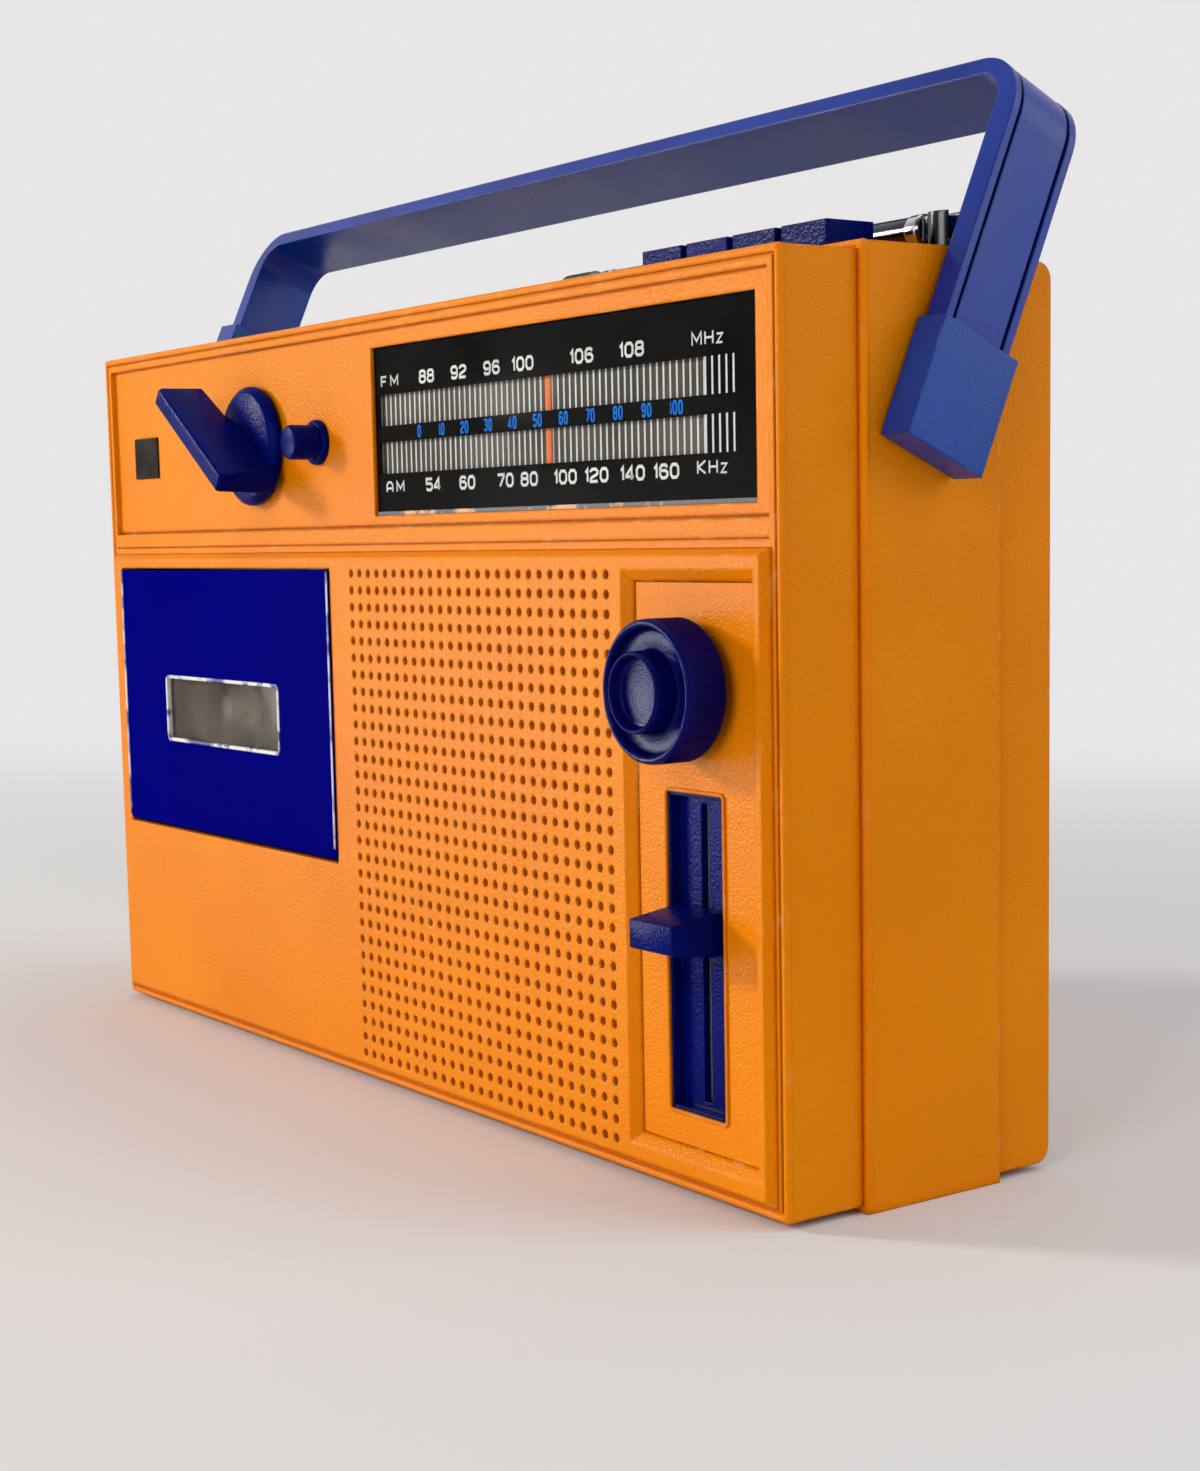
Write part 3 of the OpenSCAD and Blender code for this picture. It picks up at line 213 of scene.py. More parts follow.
def scuff_and_highlight_group():
    """Mask of raised and hollow edges: where a rounded normal leaves the true one, broken by noise.
    Finishes lighten these edges, partly as wear and partly as a painted highlight.
    """
    tree, start, end = new_group("scuffed_and_highlit_edges", {"Radius": 0.0008, "Amount": 0.5, "Patches": 180.0},
                                 {"Mask": "NodeSocketFloat", "Normal": "NodeSocketVector"})
    at = add(tree, "TexCoord").outputs["Object"]
    round_n = add(tree, "Bevel", {"Radius": start.outputs["Radius"]}, samples=4)
    flat_n = add(tree, "NewGeometry").outputs["True Normal"]
    same = add(tree, "VectorMath", {0: round_n.outputs[0], 1: flat_n}, operation="DOT_PRODUCT")
    bent = add(tree, "MapRange", {"Value": same.outputs["Value"], "From Min": 0.995, "From Max": 0.8})
    patch = add(tree, "TexNoise", {"Vector": at, "Scale": start.outputs["Patches"], "Detail": 5.0})
    less = add(tree, "Math", {0: 1.0, 1: start.outputs["Amount"]}, operation="SUBTRACT")
    gate = add(tree, "MapRange", {"Value": patch.outputs["Fac"], "From Min": less.outputs[0],
                                  "From Max": 1.0, "To Min": 0.0, "To Max": 3.0})
    mask = add(tree, "Math", {0: bent.outputs[0], 1: gate.outputs[0]},
               operation="MULTIPLY", use_clamp=True)
    tree.links.new(mask.outputs[0], end.inputs["Mask"])
    tree.links.new(round_n.outputs[0], end.inputs["Normal"])
    return tree


def occlusion_shade_group():
    """Mask of corners and gaps, from how much of the sky near the point is hidden.
    Finishes darken these places with a painted shade.
    """
    tree, start, end = new_group("occlusion_painted_shade", {"Reach": 0.004, "Amount": 0.6},
                                 {"Mask": "NodeSocketFloat"})
    shut = add(tree, "AmbientOcclusion", {"Distance": start.outputs["Reach"]}, samples=4)
    span = add(tree, "MapRange", {"Value": shut.outputs["AO"], "From Min": 0.75, "From Max": 0.25})
    mask = add(tree, "Math", {0: span.outputs[0], 1: start.outputs["Amount"]},
               operation="MULTIPLY", use_clamp=True)
    tree.links.new(mask.outputs[0], end.inputs["Mask"])
    return tree


GRAIN, SCUFF_AND_HIGHLIGHT, OCCLUSION_SHADE = grain_group(), scuff_and_highlight_group(), occlusion_shade_group()
print("groups", GRAIN.name, SCUFF_AND_HIGHLIGHT.name, OCCLUSION_SHADE.name)

# %% [markdown]
# ## Finishes
# One recipe makes each finish: two close shades mixed by the mottle, a lighter shade on edges that
# is partly wear and partly painted highlight, a painted shade in corners, and the grain as a bump
# on the rounded normal. Only the numbers differ between orange paint, satin blue plastic, steel
# and rubber.


# %% One recipe for a finish
BUMP_DEPTH = 0.0004
ROUGH_SPREAD = 0.06


def finish(name, light, dark, rough, grain=900.0, bump=0.06, mottle=25.0, scuff_highlight_tint=None, scuff_highlight_amount=0.35,
           radius=0.0007, painted_shade_tint=None, painted_shade_strength=0.5, metal=0.0, alpha=1.0, ior=1.45, span=(0.35, 0.65)):
    """Principled finish: mottled colour, edges lightened as wear and painted highlight, painted shade
    in corners, grained and softly rounded normal. The light shade starts to show where the mottle's
    noise passes span[0] and is full from span[1] on."""
    mat = bpy.data.materials.new(name)
    mat.use_nodes = True
    tree = mat.node_tree
    shader = tree.nodes["Principled BSDF"]
    skin_n = add(tree, "Group", node_tree=GRAIN)
    skin_n.inputs["Scale"].default_value = grain
    skin_n.inputs["Mottle Scale"].default_value = mottle
    skin_n.inputs["Low"].default_value, skin_n.inputs["High"].default_value = span
    edge = add(tree, "Group", node_tree=SCUFF_AND_HIGHLIGHT)
    edge.inputs["Radius"].default_value = radius
    edge.inputs["Amount"].default_value = scuff_highlight_amount if scuff_highlight_tint else 0.0
    base = add(tree, "Mix", {"Factor": skin_n.outputs["Mottle"], "A": dark, "B": light},
               data_type="RGBA")
    colour = next(k for k in base.outputs if k.type == "RGBA")
    # Edges are lightened, partly as wear and partly as a painted highlight.
    layers = [(edge.outputs["Mask"], scuff_highlight_tint)] if scuff_highlight_tint else []
    # Corners and gaps are darkened towards a painted shade colour by the occlusion mask.
    if painted_shade_tint:
        corner = add(tree, "Group", node_tree=OCCLUSION_SHADE)
        corner.inputs["Amount"].default_value = painted_shade_strength
        layers.append((corner.outputs["Mask"], painted_shade_tint))
    for mask, shade in layers:
        mixed = add(tree, "Mix", data_type="RGBA")
        rgba = [k for k in mixed.inputs if k.type == "RGBA"]
        tree.links.new(mask, mixed.inputs["Factor"])
        tree.links.new(colour, rgba[0])
        rgba[1].default_value = shade
        colour = next(k for k in mixed.outputs if k.type == "RGBA")
    tree.links.new(colour, shader.inputs["Base Color"])
    dull = add(tree, "MapRange", {"Value": skin_n.outputs["Mottle"],
                                  "To Min": max(rough - ROUGH_SPREAD, 0.02),
                                  "To Max": rough + ROUGH_SPREAD})
    tree.links.new(dull.outputs[0], shader.inputs["Roughness"])
    raised = add(tree, "Bump", {"Strength": bump, "Distance": BUMP_DEPTH,
                                "Height": skin_n.outputs["Height"], "Normal": edge.outputs["Normal"]})
    tree.links.new(raised.outputs[0], shader.inputs["Normal"])
    shader.inputs["Metallic"].default_value = metal
    shader.inputs["Alpha"].default_value = alpha
    shader.inputs["IOR"].default_value = ior
    return mat


print("bump depth", BUMP_DEPTH, "roughness spread", ROUGH_SPREAD)

# %% The finishes of this recorder
# In every finish below, the corner colour is a painted shade for corners and gaps, and the edge colour
# is partly wear and partly a painted highlight.
ink = {"bump": 0.02, "mottle": 120, "ior": 1.1}
bare = {"metal": 1.0, "mottle": 80}
orange = finish("orange_paint", tint(241, 138, 3), tint(234, 130, 1), 0.31, grain=1700, bump=0.34,
                mottle=18, scuff_highlight_tint=tint(255, 190, 110), scuff_highlight_amount=0.45, radius=0.0011,
                painted_shade_tint=tint(116, 50, 6), painted_shade_strength=0.35, ior=1.14)
satin = finish("satin_blue", tint(1, 14, 104), tint(1, 10, 90), 0.27, grain=1500, bump=0.2, mottle=60,
               scuff_highlight_tint=tint(76, 90, 160), scuff_highlight_amount=0.36, radius=0.0006, painted_shade_tint=tint(1, 2, 26), ior=1.1)
knob_blue = finish("knob_blue", tint(4, 8, 92), tint(2, 5, 78), 0.27, grain=2200, bump=0.12, mottle=60,
                   scuff_highlight_tint=tint(90, 102, 170), scuff_highlight_amount=0.3, radius=0.00012, painted_shade_tint=tint(1, 2, 26), ior=1.15)
door_blue = finish("door_blue", tint(0, 0, 124), tint(0, 0, 113), 0.4, grain=700, bump=0.05, mottle=12,
                   scuff_highlight_tint=tint(56, 66, 160), scuff_highlight_amount=0.3, radius=0.0006, painted_shade_tint=tint(0, 0, 34), ior=1.02)
strap = finish("strap_blue", tint(4, 46, 146), tint(2, 38, 130), 0.3, grain=2000, bump=0.06, mottle=40,
               scuff_highlight_tint=tint(84, 98, 168), scuff_highlight_amount=0.4, radius=0.0006, painted_shade_tint=tint(2, 3, 28), ior=1.36)
block = finish("block_blue", tint(6, 62, 154), tint(4, 54, 140), 0.32, grain=2000, bump=0.08, mottle=50,
               scuff_highlight_tint=tint(120, 136, 196), scuff_highlight_amount=0.45, radius=0.0007, painted_shade_tint=tint(2, 3, 28), ior=1.36)
black = finish("black_plastic", tint(16, 16, 17), tint(9, 9, 10), 0.45, bump=0.12,
               scuff_highlight_tint=tint(70, 70, 72), scuff_highlight_amount=0.25)
dial_black = finish("dial_black", tint(16, 15, 15), tint(4, 4, 5), 0.3, bump=0.01, mottle=45, ior=1.04)
grey_window = finish("dial_grey", tint(112, 106, 98), tint(70, 66, 62), 0.5, bump=0.05, mottle=40,
                     ior=1.1)
white_print = finish("white_print", tint(255, 255, 252), tint(236, 236, 230), 0.5, **ink)
blue_print = finish("blue_print", tint(6, 142, 255), tint(2, 128, 248), 0.5, **ink)
pointer_red = finish("pointer_red", tint(255, 142, 92), tint(248, 126, 76), 0.4, **ink)
steel = finish("bright_steel", tint(178, 178, 182), tint(156, 156, 160), 0.3, bump=0.04, **bare)
chrome = finish("chrome", tint(84, 84, 88), tint(62, 62, 66), 0.12, bump=0.01, **bare)
ring_bright = finish("bright_ring", tint(222, 222, 226), tint(200, 200, 206), 0.1, bump=0.01, **bare)
brass = finish("brass", tint(190, 150, 84), tint(168, 128, 66), 0.35, bump=0.04, metal=1.0,
               mottle=60)
grey = finish("grey_plastic", tint(196, 192, 182), tint(178, 174, 164), 0.5, bump=0.1)
rubber = finish("rubber", tint(26, 26, 27), tint(18, 18, 19), 0.7, bump=0.2)
sheet = finish("plated_sheet", tint(150, 152, 156), tint(128, 130, 134), 0.4, bump=0.05, metal=0.9,
               mottle=50)
cone_paper = finish("cone_paper", tint(34, 33, 32), tint(24, 23, 23), 0.85, grain=600, bump=0.3)
laminate = finish("board_laminate", tint(150, 104, 52), tint(128, 86, 40), 0.5, bump=0.06)
ferrite = finish("ferrite", tint(52, 50, 48), tint(40, 38, 37), 0.55, bump=0.1)
cord_wax = finish("waxed_cord", tint(140, 120, 86), tint(110, 92, 62), 0.7, grain=2500, bump=0.4)
clear = finish("clear_pane", tint(20, 20, 22), tint(14, 14, 16), 0.22, bump=0.0, alpha=0.05, ior=1.1)
smoky = finish("smoky_pane", tint(140, 128, 112), tint(64, 56, 48), 0.1, bump=0.0, mottle=60,
               alpha=0.3, ior=1.3)
lens_dark = finish("lens_dark", tint(36, 30, 24), tint(14, 11, 9), 0.25, bump=0.02, mottle=130,
                   ior=1.15)
print("finishes", len(bpy.data.materials))

# %% A finish for every solid
BY_SLOT = {"case_orange": orange, "steel": steel, "dial_glass": clear, "black_plastic": black,
           "pointer_red": pointer_red, "grey_plastic": grey, "cord": cord_wax, "satin_blue": satin,
           "door_blue": door_blue, "handle_blue": strap, "window_clear": smoky, "brass": brass,
           "rubber": rubber, "metal_grey": sheet, "paper_cone": cone_paper, "board": laminate,
           "ferrite": ferrite, "antenna_chrome": chrome}
OWN = {"handle_end_left": block, "handle_end_right": block, "indicator_lens": lens_dark}
for part in frame["record"]["subparts"]:
    obj = node[part["node"]]
    obj.data.materials.clear()
    obj.data.materials.append(OWN.get(part["node"], BY_SLOT[part["material_slot"]]))
print("slots", len(BY_SLOT), "solids with a finish of their own", len(OWN))

# %% [markdown]
# ## Tuning knob
# The knob is one turned profile: a knurled side, a rounded outer rim, a sunken ring and a
# smaller raised ring round a sunken centre. The knurl is a cosine on the radius.

# %% Tuning knob
KNOB_AT = (122.4, -39.2, 101.8)
knob_side = [(3.1, 0), (13.2, 0), (13.8, 0.4), (14, 1), (14, 1.3), (14, 8.2)]
knob_rim = [(13.95, 8.7), (13.8, 9.2), (13.5, 9.5), (13.15, 9.6), (12.8, 9.5), (12.5, 9.2)]
knob_hollow = [(12.35, 8.8), (12.2, 7.7), (11.95, 7.4), (11.5, 7.3), (8.6, 7.3), (8.2, 7.45), (8.0, 7.9)]
knob_hub = [(7.95, 11.5), (7.85, 12.1), (7.65, 12.45), (7.4, 12.58), (7.15, 12.45), (7.0, 12.1),
            (6.85, 10.5), (6.6, 10.15), (6.1, 10.0), (0.02, 10.0)]
knob = turned("knob_cap", knob_side + knob_rim + knob_hollow + knob_hub, KNOB_AT, FRONT, knob_blue,
              "tuning", n=1280, knurl=(160, 0.16, 1.25, 8.3), sharp=50)
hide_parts("tuning_knob")
print("knob", len(knob.data.polygons))

# %% [markdown]
# ## Selector knob
# A disc with a soft edge carries a tall fin that overhangs it at both ends. The fin's side view is
# an outline given a width. Its rims are eased, as the moulding's are, so they catch a line of light.

# %% Selector knob
SELECTOR_AT = (-59.4, -36.0, 155.9)
fin_turn = math.radians(35)
fin_along = (math.cos(fin_turn), 0, -math.sin(fin_turn))
fin_across = (math.sin(fin_turn), 0, math.cos(fin_turn))
FIN = (fin_along, fin_across, (0, -1, 0))


def drawn_in(outline, d):
    """Closed outline moved inwards by d: each corner is where its two shifted edges meet."""
    p = np.array(outline, float)
    e = np.roll(p, -1, 0) - p
    e /= np.linalg.norm(e, axis=1)[:, None]
    area = np.sum(p[:, 0] * np.roll(p[:, 1], -1) - np.roll(p[:, 0], -1) * p[:, 1])
    n = np.stack([-e[:, 1], e[:, 0]], -1) * np.sign(area)
    before = np.roll(n, 1, 0)
    return p + d * (n + before) / (1 + np.sum(n * before, 1))[:, None]


def slab(name, outline, w, edge, draft, origin, axes, material, body):
    """Outline in A and C given the width w along B, wider towards its foot by draft per unit of
    height below the outline's top, its rims eased by a quarter round of radius edge."""
    crest = max(c for _, c in outline)
    steps = np.radians(np.linspace(0, 90, 4))
    levels = [(w / 2 - edge + edge * math.sin(a), edge * (1 - math.cos(a))) for a in steps]
    rings = []
    for b, d in [(-b, d) for b, d in levels[::-1]] + levels:
        ac = drawn_in(outline, d)
        rings.append(np.column_stack([ac[:, 0], b * (1 + draft * (crest - ac[:, 1])), ac[:, 1]]))
    return skin(name, placed(np.array(rings), origin, *axes), material, body, sharp=30)


disc_profile = [(3.4, 0), (14.4, 0), (14.85, 0.3), (15, 0.7), (15, 1.5), (14.8, 2.1), (13.6, 3.15),
                (13, 3.4), (0.02, 3.4)]
fin_side = [(-23.8, 17.2), (-23.2, 18), (16.6, 18), (17.2, 17.2), (17.2, 1.8), (-3.3, 1.8), (-9.9, 5),
            (-23, 6)]
disc = turned("selector_disc", disc_profile, SELECTOR_AT, FRONT, satin, "selector")
fin = slab("selector_fin", fin_side, w=5.0, edge=0.9, draft=0.025, origin=SELECTOR_AT, axes=FIN,
           material=satin, body="selector")
stem = turned("selector_stem", [(3.5, -11), (3.5, 1.0)], SELECTOR_AT, FRONT, satin, "selector", n=40)
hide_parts("selector_knob")
print("selector", len(disc.data.polygons))

# %% [markdown]
# ## Push button and its collar
# The button is a small turned plunger with a rounded head. It runs in a collar whose flange
# stands on the dial field.

# %% Push button
BUTTON_AT = (-27, -35.5, 155.5)
push_profile = [(4.15, -4.8), (4.2, 0), (4.2, 7.4), (4.1, 8.0), (3.8, 8.4), (3.3, 8.6), (0.02, 8.6)]
ring_profile = [(4.26, -2), (5.45, -0.02), (5.5, 0.9), (5.35, 1.3), (5.0, 1.5), (4.75, 1.75), (4.5, 1.8),
                (4.28, 1.6)]
push = turned("button_plunger", push_profile, BUTTON_AT, FRONT, satin, "lamp_button", n=64)
ring = turned("button_ring", ring_profile, BUTTON_AT, FRONT, satin, "case", n=64)
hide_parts("lamp_button")
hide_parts("button_collar")
print("button", len(push.data.polygons))

# %% [markdown]
# ## Thumb slider
# The thumb piece narrows towards its front, with rubbed corners. A flat stem joins it to the
# slide behind the plate. Both are lofts: a list of levels, each with its own width, depth and
# corner radius, so that tapers and soft edges come from one formula.


# %% Thumb slider
def loft(name, levels, origin, axes, material, body, n=6, sharp=40):
    """Rounded rectangles (height c, width, depth, radius) stacked along C and closed at both ends."""
    rings = [np.column_stack([rounded_ring(w, h, r, n), np.full(4 * n, c)])
             for c, w, h, r in levels]
    return skin(name, placed(np.array(rings), origin, *axes), material, body, sharp=sharp)


SLIDER_AT = (122.2, -36.7, 54.3)
thumb_levels = [(-2.2, 14, 8.4, 0.3), (2.0, 14, 8.4, 0.3), (11.0, 14, 5.85, 0.3), (11.3, 13.7, 5.5, 0.3),
                (11.4, 13.3, 5.1, 0.25)]
thumb = loft("slider_thumb", thumb_levels, SLIDER_AT, FRONT, satin, "volume", sharp=30)
blade = loft("slider_stem", [(-8.7, 1.8, 5.0, 0.2), (-2.0, 1.8, 5.0, 0.2)], SLIDER_AT, FRONT, satin,
             "volume")
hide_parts("volume_thumb")
print("thumb", len(thumb.data.polygons))

# %% [markdown]
# ## Frames and lips
# The slot of the slider and the window of the door have thin moulded lips. A lip is a small
# half-round profile carried round a rounded rectangle. The door's left upright edge is rubbed bare in
# places, and its right one shows a painted highlight: thin strips with a chipped finish paint both.


# %% Lips, rubbed edges and a painted edge highlight
def lip(name, w, h, r, profile, origin, axes, material, body, n=6, gap=None):
    """Profile points (outward d, height c) carried round a rounded rectangle of sides w and h. A
    gap (from, to) along the upper side is left out, and the two ends beside it are closed."""
    ring2 = rounded_ring(w, h, r, n)
    t = np.radians(np.linspace(0, 90, n))[None, :] + np.radians([0, 90, 180, 270])[:, None]
    out = np.stack([np.cos(t), np.sin(t)], -1).reshape(-1, 2)
    if gap:
        ring2 = np.vstack([[gap[0], h / 2], np.roll(ring2, -n, 0), [gap[1], h / 2]])
        out = np.vstack([[0, 1], np.roll(out, -n, 0), [0, 1]])
    p = np.array(profile, float)
    ab = ring2[:, None, :] + out[:, None, :] * p[None, :, :1]
    abc = np.concatenate([ab, np.repeat(p[None, :, 1:], len(ring2), 0)], -1)
    return skin(name, placed(abc, origin, *axes), material, body, closed_rows=not gap)


DOOR_Y = -39.2
chipped = finish("chipped_lip", tint(222, 220, 214), tint(22, 26, 110), 0.5, mottle=170, bump=0.2,
                 span=(0.42, 0.52))
chipped_and_lit_strip = finish("chipped_and_lit_strip", tint(206, 202, 212), tint(12, 12, 116), 0.5, mottle=150, bump=0.2,
                      span=(0.4, 0.56))
slot_profile = [(0, -0.1), (0, 0.3), (0.2, 0.5), (0.6, 0.5), (0.8, 0.3), (0.8, -0.1)]
slot_lip = lip("slider_slot_lip", 17.6, 64.0, 0.6, slot_profile, (122.2, -36.7, 49.3), FRONT, orange,
               "case")
window_profile = [(0.3, -1.2), (0, -1.0), (0, 0.15), (0.35, 0.3), (0.9, 0.2), (1.0, -0.1)]
window_lip = lip("door_window_lip", 64.4, 16.3, 0.8, window_profile, (-78.75, DOOR_Y, 86.75), FRONT,
                 chipped, "door")
# The left strip is wear; the right strip is a painted highlight along the door's lit right edge.
for label, x, w in (("left", -138.65, 1.1), ("right", -18.75, 0.9)):
    edge_levels = [(-0.05, w, 67.8, 0.3), (0.1, w, 67.8, 0.3), (0.15, w - 0.2, 67.6, 0.3)]
    door_strip_scuffed_and_lit = loft(f"door_edge_{label}", edge_levels, (x, DOOR_Y, 90.4), FRONT, chipped_and_lit_strip, "door")
print("lips", len(slot_lip.data.polygons), len(window_lip.data.polygons))

# %% [markdown]
# ## Rounded case edges
# A moulded case has no knife edges: its front rims end in a narrow round bead that draws a line
# of light. The solids are square there, so a thin bead runs round each rim and stands just
# proud of both faces, which hides the square corner inside it. The bead of the middle case
# stops at both sides of the keys, which dip there.


# %% Beads along the rims
RIM_CORNER = 0.7
KEY_ROOM = 0.5


def bead(name, lo, hi, r=0.9, proud=0.27, lift=0.0, gap=None):
    """Circle of radius r carried round a box's front rim, its centre r - proud inside both faces; its
    lower run lies higher by lift."""
    lo, hi = np.array(lo) / MM, np.array(hi) / MM
    lo[2] += lift
    t = np.linspace(0, 2 * np.pi, 14, endpoint=False)
    circle = np.column_stack([proud - r + r * np.cos(t), proud - r + r * np.sin(t)])
    middle = ((lo[0] + hi[0]) / 2, lo[1], (lo[2] + hi[2]) / 2)
    made = lip(name, hi[0] - lo[0], hi[2] - lo[2], RIM_CORNER, circle, middle, FRONT, orange, "case",
               gap=gap)
    return made


shell_bead = bead("front_shell_bead", *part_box("front_shell"))
key_row = (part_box("record_key")[0][0] / MM - KEY_ROOM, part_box("stop_key")[1][0] / MM + KEY_ROOM)
case_bead = bead("mid_case_bead", *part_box("mid_case"), lift=0.3, gap=key_row)
print("beads", len(shell_bead.data.polygons), len(case_bead.data.polygons))

# %% [markdown]
# ## The dial
# Behind a clear pane lies a black printed mask with two long windows. White ticks stand on a
# grey strip in both windows, numbers above, between and below them, and the pointer shows
# through the windows only. The mask is a flat grid with the window cells left out.


# %% Dial mask
def thin(name, mesh, thick, material):
    """Piece of the case made of flat faces that get a thickness to the back."""
    obj = bpy.data.objects.new(name, mesh)
    obj.data.materials.append(material)
    bpy.context.collection.objects.link(obj)
    thicken = obj.modifiers.new("thickness", "SOLIDIFY")
    thicken.thickness = thick * MM
    thicken.offset = -1
    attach(obj, "case")
    return obj


def flat_cells(name, xs, zs, keep, y, thick, material):
    """Flat grid in X and Z at depth y with only the cells where keep is true."""
    x, z = np.meshgrid(np.array(xs, float), np.array(zs, float), indexing="ij")
    pts = np.stack([x, np.full_like(x, y), z], -1).reshape(-1, 3) * MM
    m = len(zs)
    i, j = np.nonzero(keep)
    quads = np.stack([i * m + j, (i + 1) * m + j, (i + 1) * m + j + 1, i * m + j + 1], -1)
    mesh = bpy.data.meshes.new(name)
    mesh.from_pydata(pts.tolist(), [], quads.tolist())
    mesh.validate()
    return thin(name, mesh, thick, material)


MASK_Y = -34.6
win_z = [(146.9, 154.2), (157.9, 165.1)]
win_x = (1.0, 124.4)
mask_x = [-0.4, *win_x, 140.9]
mask_z = [137.3, *win_z[0], *win_z[1], 176.0]
keep = np.ones((3, 5), bool)
keep[1, [1, 3]] = False
mask = flat_cells("dial_mask", mask_x, mask_z, keep, MASK_Y, 0.25, dial_black)
print("mask cells", int(keep.sum()))

# %% Strips and ticks
STRIP_Y, TICK_Y, END_TICK_Y = -33.32, -33.36, -34.66
TICK_HALF, TICK_STEP, PRINT_THICK = 0.27, 2.15, 0.04


def tick_row(name, xs, z0, z1, y):
    """Upright bars of one width at the places xs, as the kept cells of a flat grid."""
    edges = np.stack([xs - TICK_HALF, xs + TICK_HALF], -1).reshape(-1)
    rule = np.zeros((len(edges) - 1, 1), bool)
    rule[::2] = True
    made = flat_cells(name, edges, [z0, z1], rule, y, PRINT_THICK, white_print)
    return made


behind_x = -1.9 + TICK_STEP * np.arange(60)
beside_x = win_x[1] + 0.4 + TICK_STEP * np.arange(5)
for k, (z0, z1) in enumerate(win_z):
    strip = flat_cells(f"dial_strip_{k}", [-2.4, 127.0], [z0 - 1.2, z1 + 1.2], np.ones((1, 1), bool),
                       STRIP_Y, 0.1, grey_window)
    tick_row(f"dial_ticks_{k}", behind_x, z0 - 1, z1 + 1, TICK_Y)
    tick_row(f"dial_end_ticks_{k}", beside_x, z0, z1, END_TICK_Y)
print("ticks", len(behind_x) + len(beside_x))

# %% Pane, pointer blade and the dial's chipped lower edge
DIAL_X, PANE_Y, POINTER_Y = 70.25, -34.7, -33.45
pane = loft("dial_pane", [(0, 141.2, 38.6, 0.6), (0.25, 141.2, 38.6, 0.6), (0.3, 141.0, 38.4, 0.5)],
            (DIAL_X, PANE_Y, 156.65), FRONT, clear, "case")
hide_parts("dial_glass")
needle = loft("pointer_blade", [(0, 2.2, 20.6, 0.2), (0.15, 2.2, 20.6, 0.2), (0.2, 2.0, 20.4, 0.2)],
              (70, POINTER_Y, 156), FRONT, pointer_red, "pointer")
chipped_dial = finish("chipped_dial", tint(226, 170, 116), tint(12, 11, 11), 0.5, mottle=130, bump=0.2,
                      span=(0.54, 0.6))
rub = loft("dial_edge_chips", [(-0.02, 140.8, 0.9, 0.2), (0.05, 140.8, 0.9, 0.2)],
           (DIAL_X, -35.0, 137.7), FRONT, chipped_dial, "case")
print("pane", len(pane.data.polygons))

# %% [markdown]
# ## Numbers on the dial
# The dial's numerals are wide and squarish, with one stroke width all round. No font is needed
# for them: each sign is a short line through a unit box, widened to a ribbon with mitred
# corners, so that height, width and stroke can follow the print on the real dial.

# %% Signs as lines in a unit box
CUT = 0.24
FAR = 1 - CUT
RING = [(CUT, 0), (FAR, 0), (1, CUT), (1, FAR), (FAR, 1), (CUT, 1), (0, FAR), (0, CUT), (CUT, 0)]
SIX = [(1, 0.84), (FAR, 1), (CUT, 1), (0, FAR), (0, CUT), (CUT, 0), (FAR, 0), (1, 0.18), (1, 0.4),
       (FAR, 0.57), (0, 0.57)]
SIGNS = {
    "0": [RING],
    "1": [[(0, 0.74), (1, 1), (1, 0)]],
    "2": [[(0, 0.76), (0, 0.84), (CUT, 1), (FAR, 1), (1, 0.84), (1, 0.66), (0.86, 0.55), (0.14, 0.32),
           (0, 0.2), (0, 0), (1, 0)]],
    "3": [[(0, 0.86), (CUT, 1), (FAR, 1), (1, 0.86), (1, 0.66), (FAR, 0.54), (0.35, 0.54)],
          [(FAR, 0.54), (1, 0.4), (1, 0.16), (FAR, 0), (CUT, 0), (0, 0.14)]],
    "4": [[(0.74, 0), (0.74, 1), (0, 0.34), (0, 0.24), (1, 0.24)]],
    "5": [[(1, 1), (0, 1), (0, 0.58), (FAR, 0.58), (1, 0.44), (1, 0.18), (FAR, 0), (CUT, 0), (0, 0.14)]],
    "6": [SIX],
    "7": [[(0, 1), (1, 1), (1, 0.86), (0.36, 0)]],
    "8": [[(CUT, 0.54), (FAR, 0.54), (0.96, 0.68), (0.96, 0.86), (FAR, 1), (CUT, 1), (0.04, 0.86),
           (0.04, 0.68), (CUT, 0.54)],
          [(CUT, 0), (FAR, 0), (1, 0.16), (1, 0.4), (FAR, 0.54), (CUT, 0.54), (0, 0.4), (0, 0.16),
           (CUT, 0)]],
    "9": [[(1 - x, 1 - y) for x, y in SIX]],
    "F": [[(0, 0), (0, 1), (1, 1)], [(0, 0.52), (0.85, 0.52)]],
    "M": [[(0, 0), (0, 1), (0.5, 0.3), (1, 1), (1, 0)]],
    "A": [[(0, 0), (0, 0.72), (0.28, 1), (0.72, 1), (1, 0.72), (1, 0)], [(0, 0.36), (1, 0.36)]],
    "H": [[(0, 0), (0, 1)], [(1, 0), (1, 1)], [(0, 0.5), (1, 0.5)]],
    "K": [[(0, 0), (0, 1)], [(1, 1), (0.06, 0.5), (1, 0)]],
    "z": [[(0, 0.7), (1, 0.7), (0, 0), (1, 0)]]}
SHARE = {"1": 0.45, "M": 1.15, "z": 0.75, "F": 0.9}
print("signs", len(SIGNS))

# %% Ribbons
LEAST_MITRE = 0.4
PRINT_Y, LAYER_STEP = -34.65, 0.012


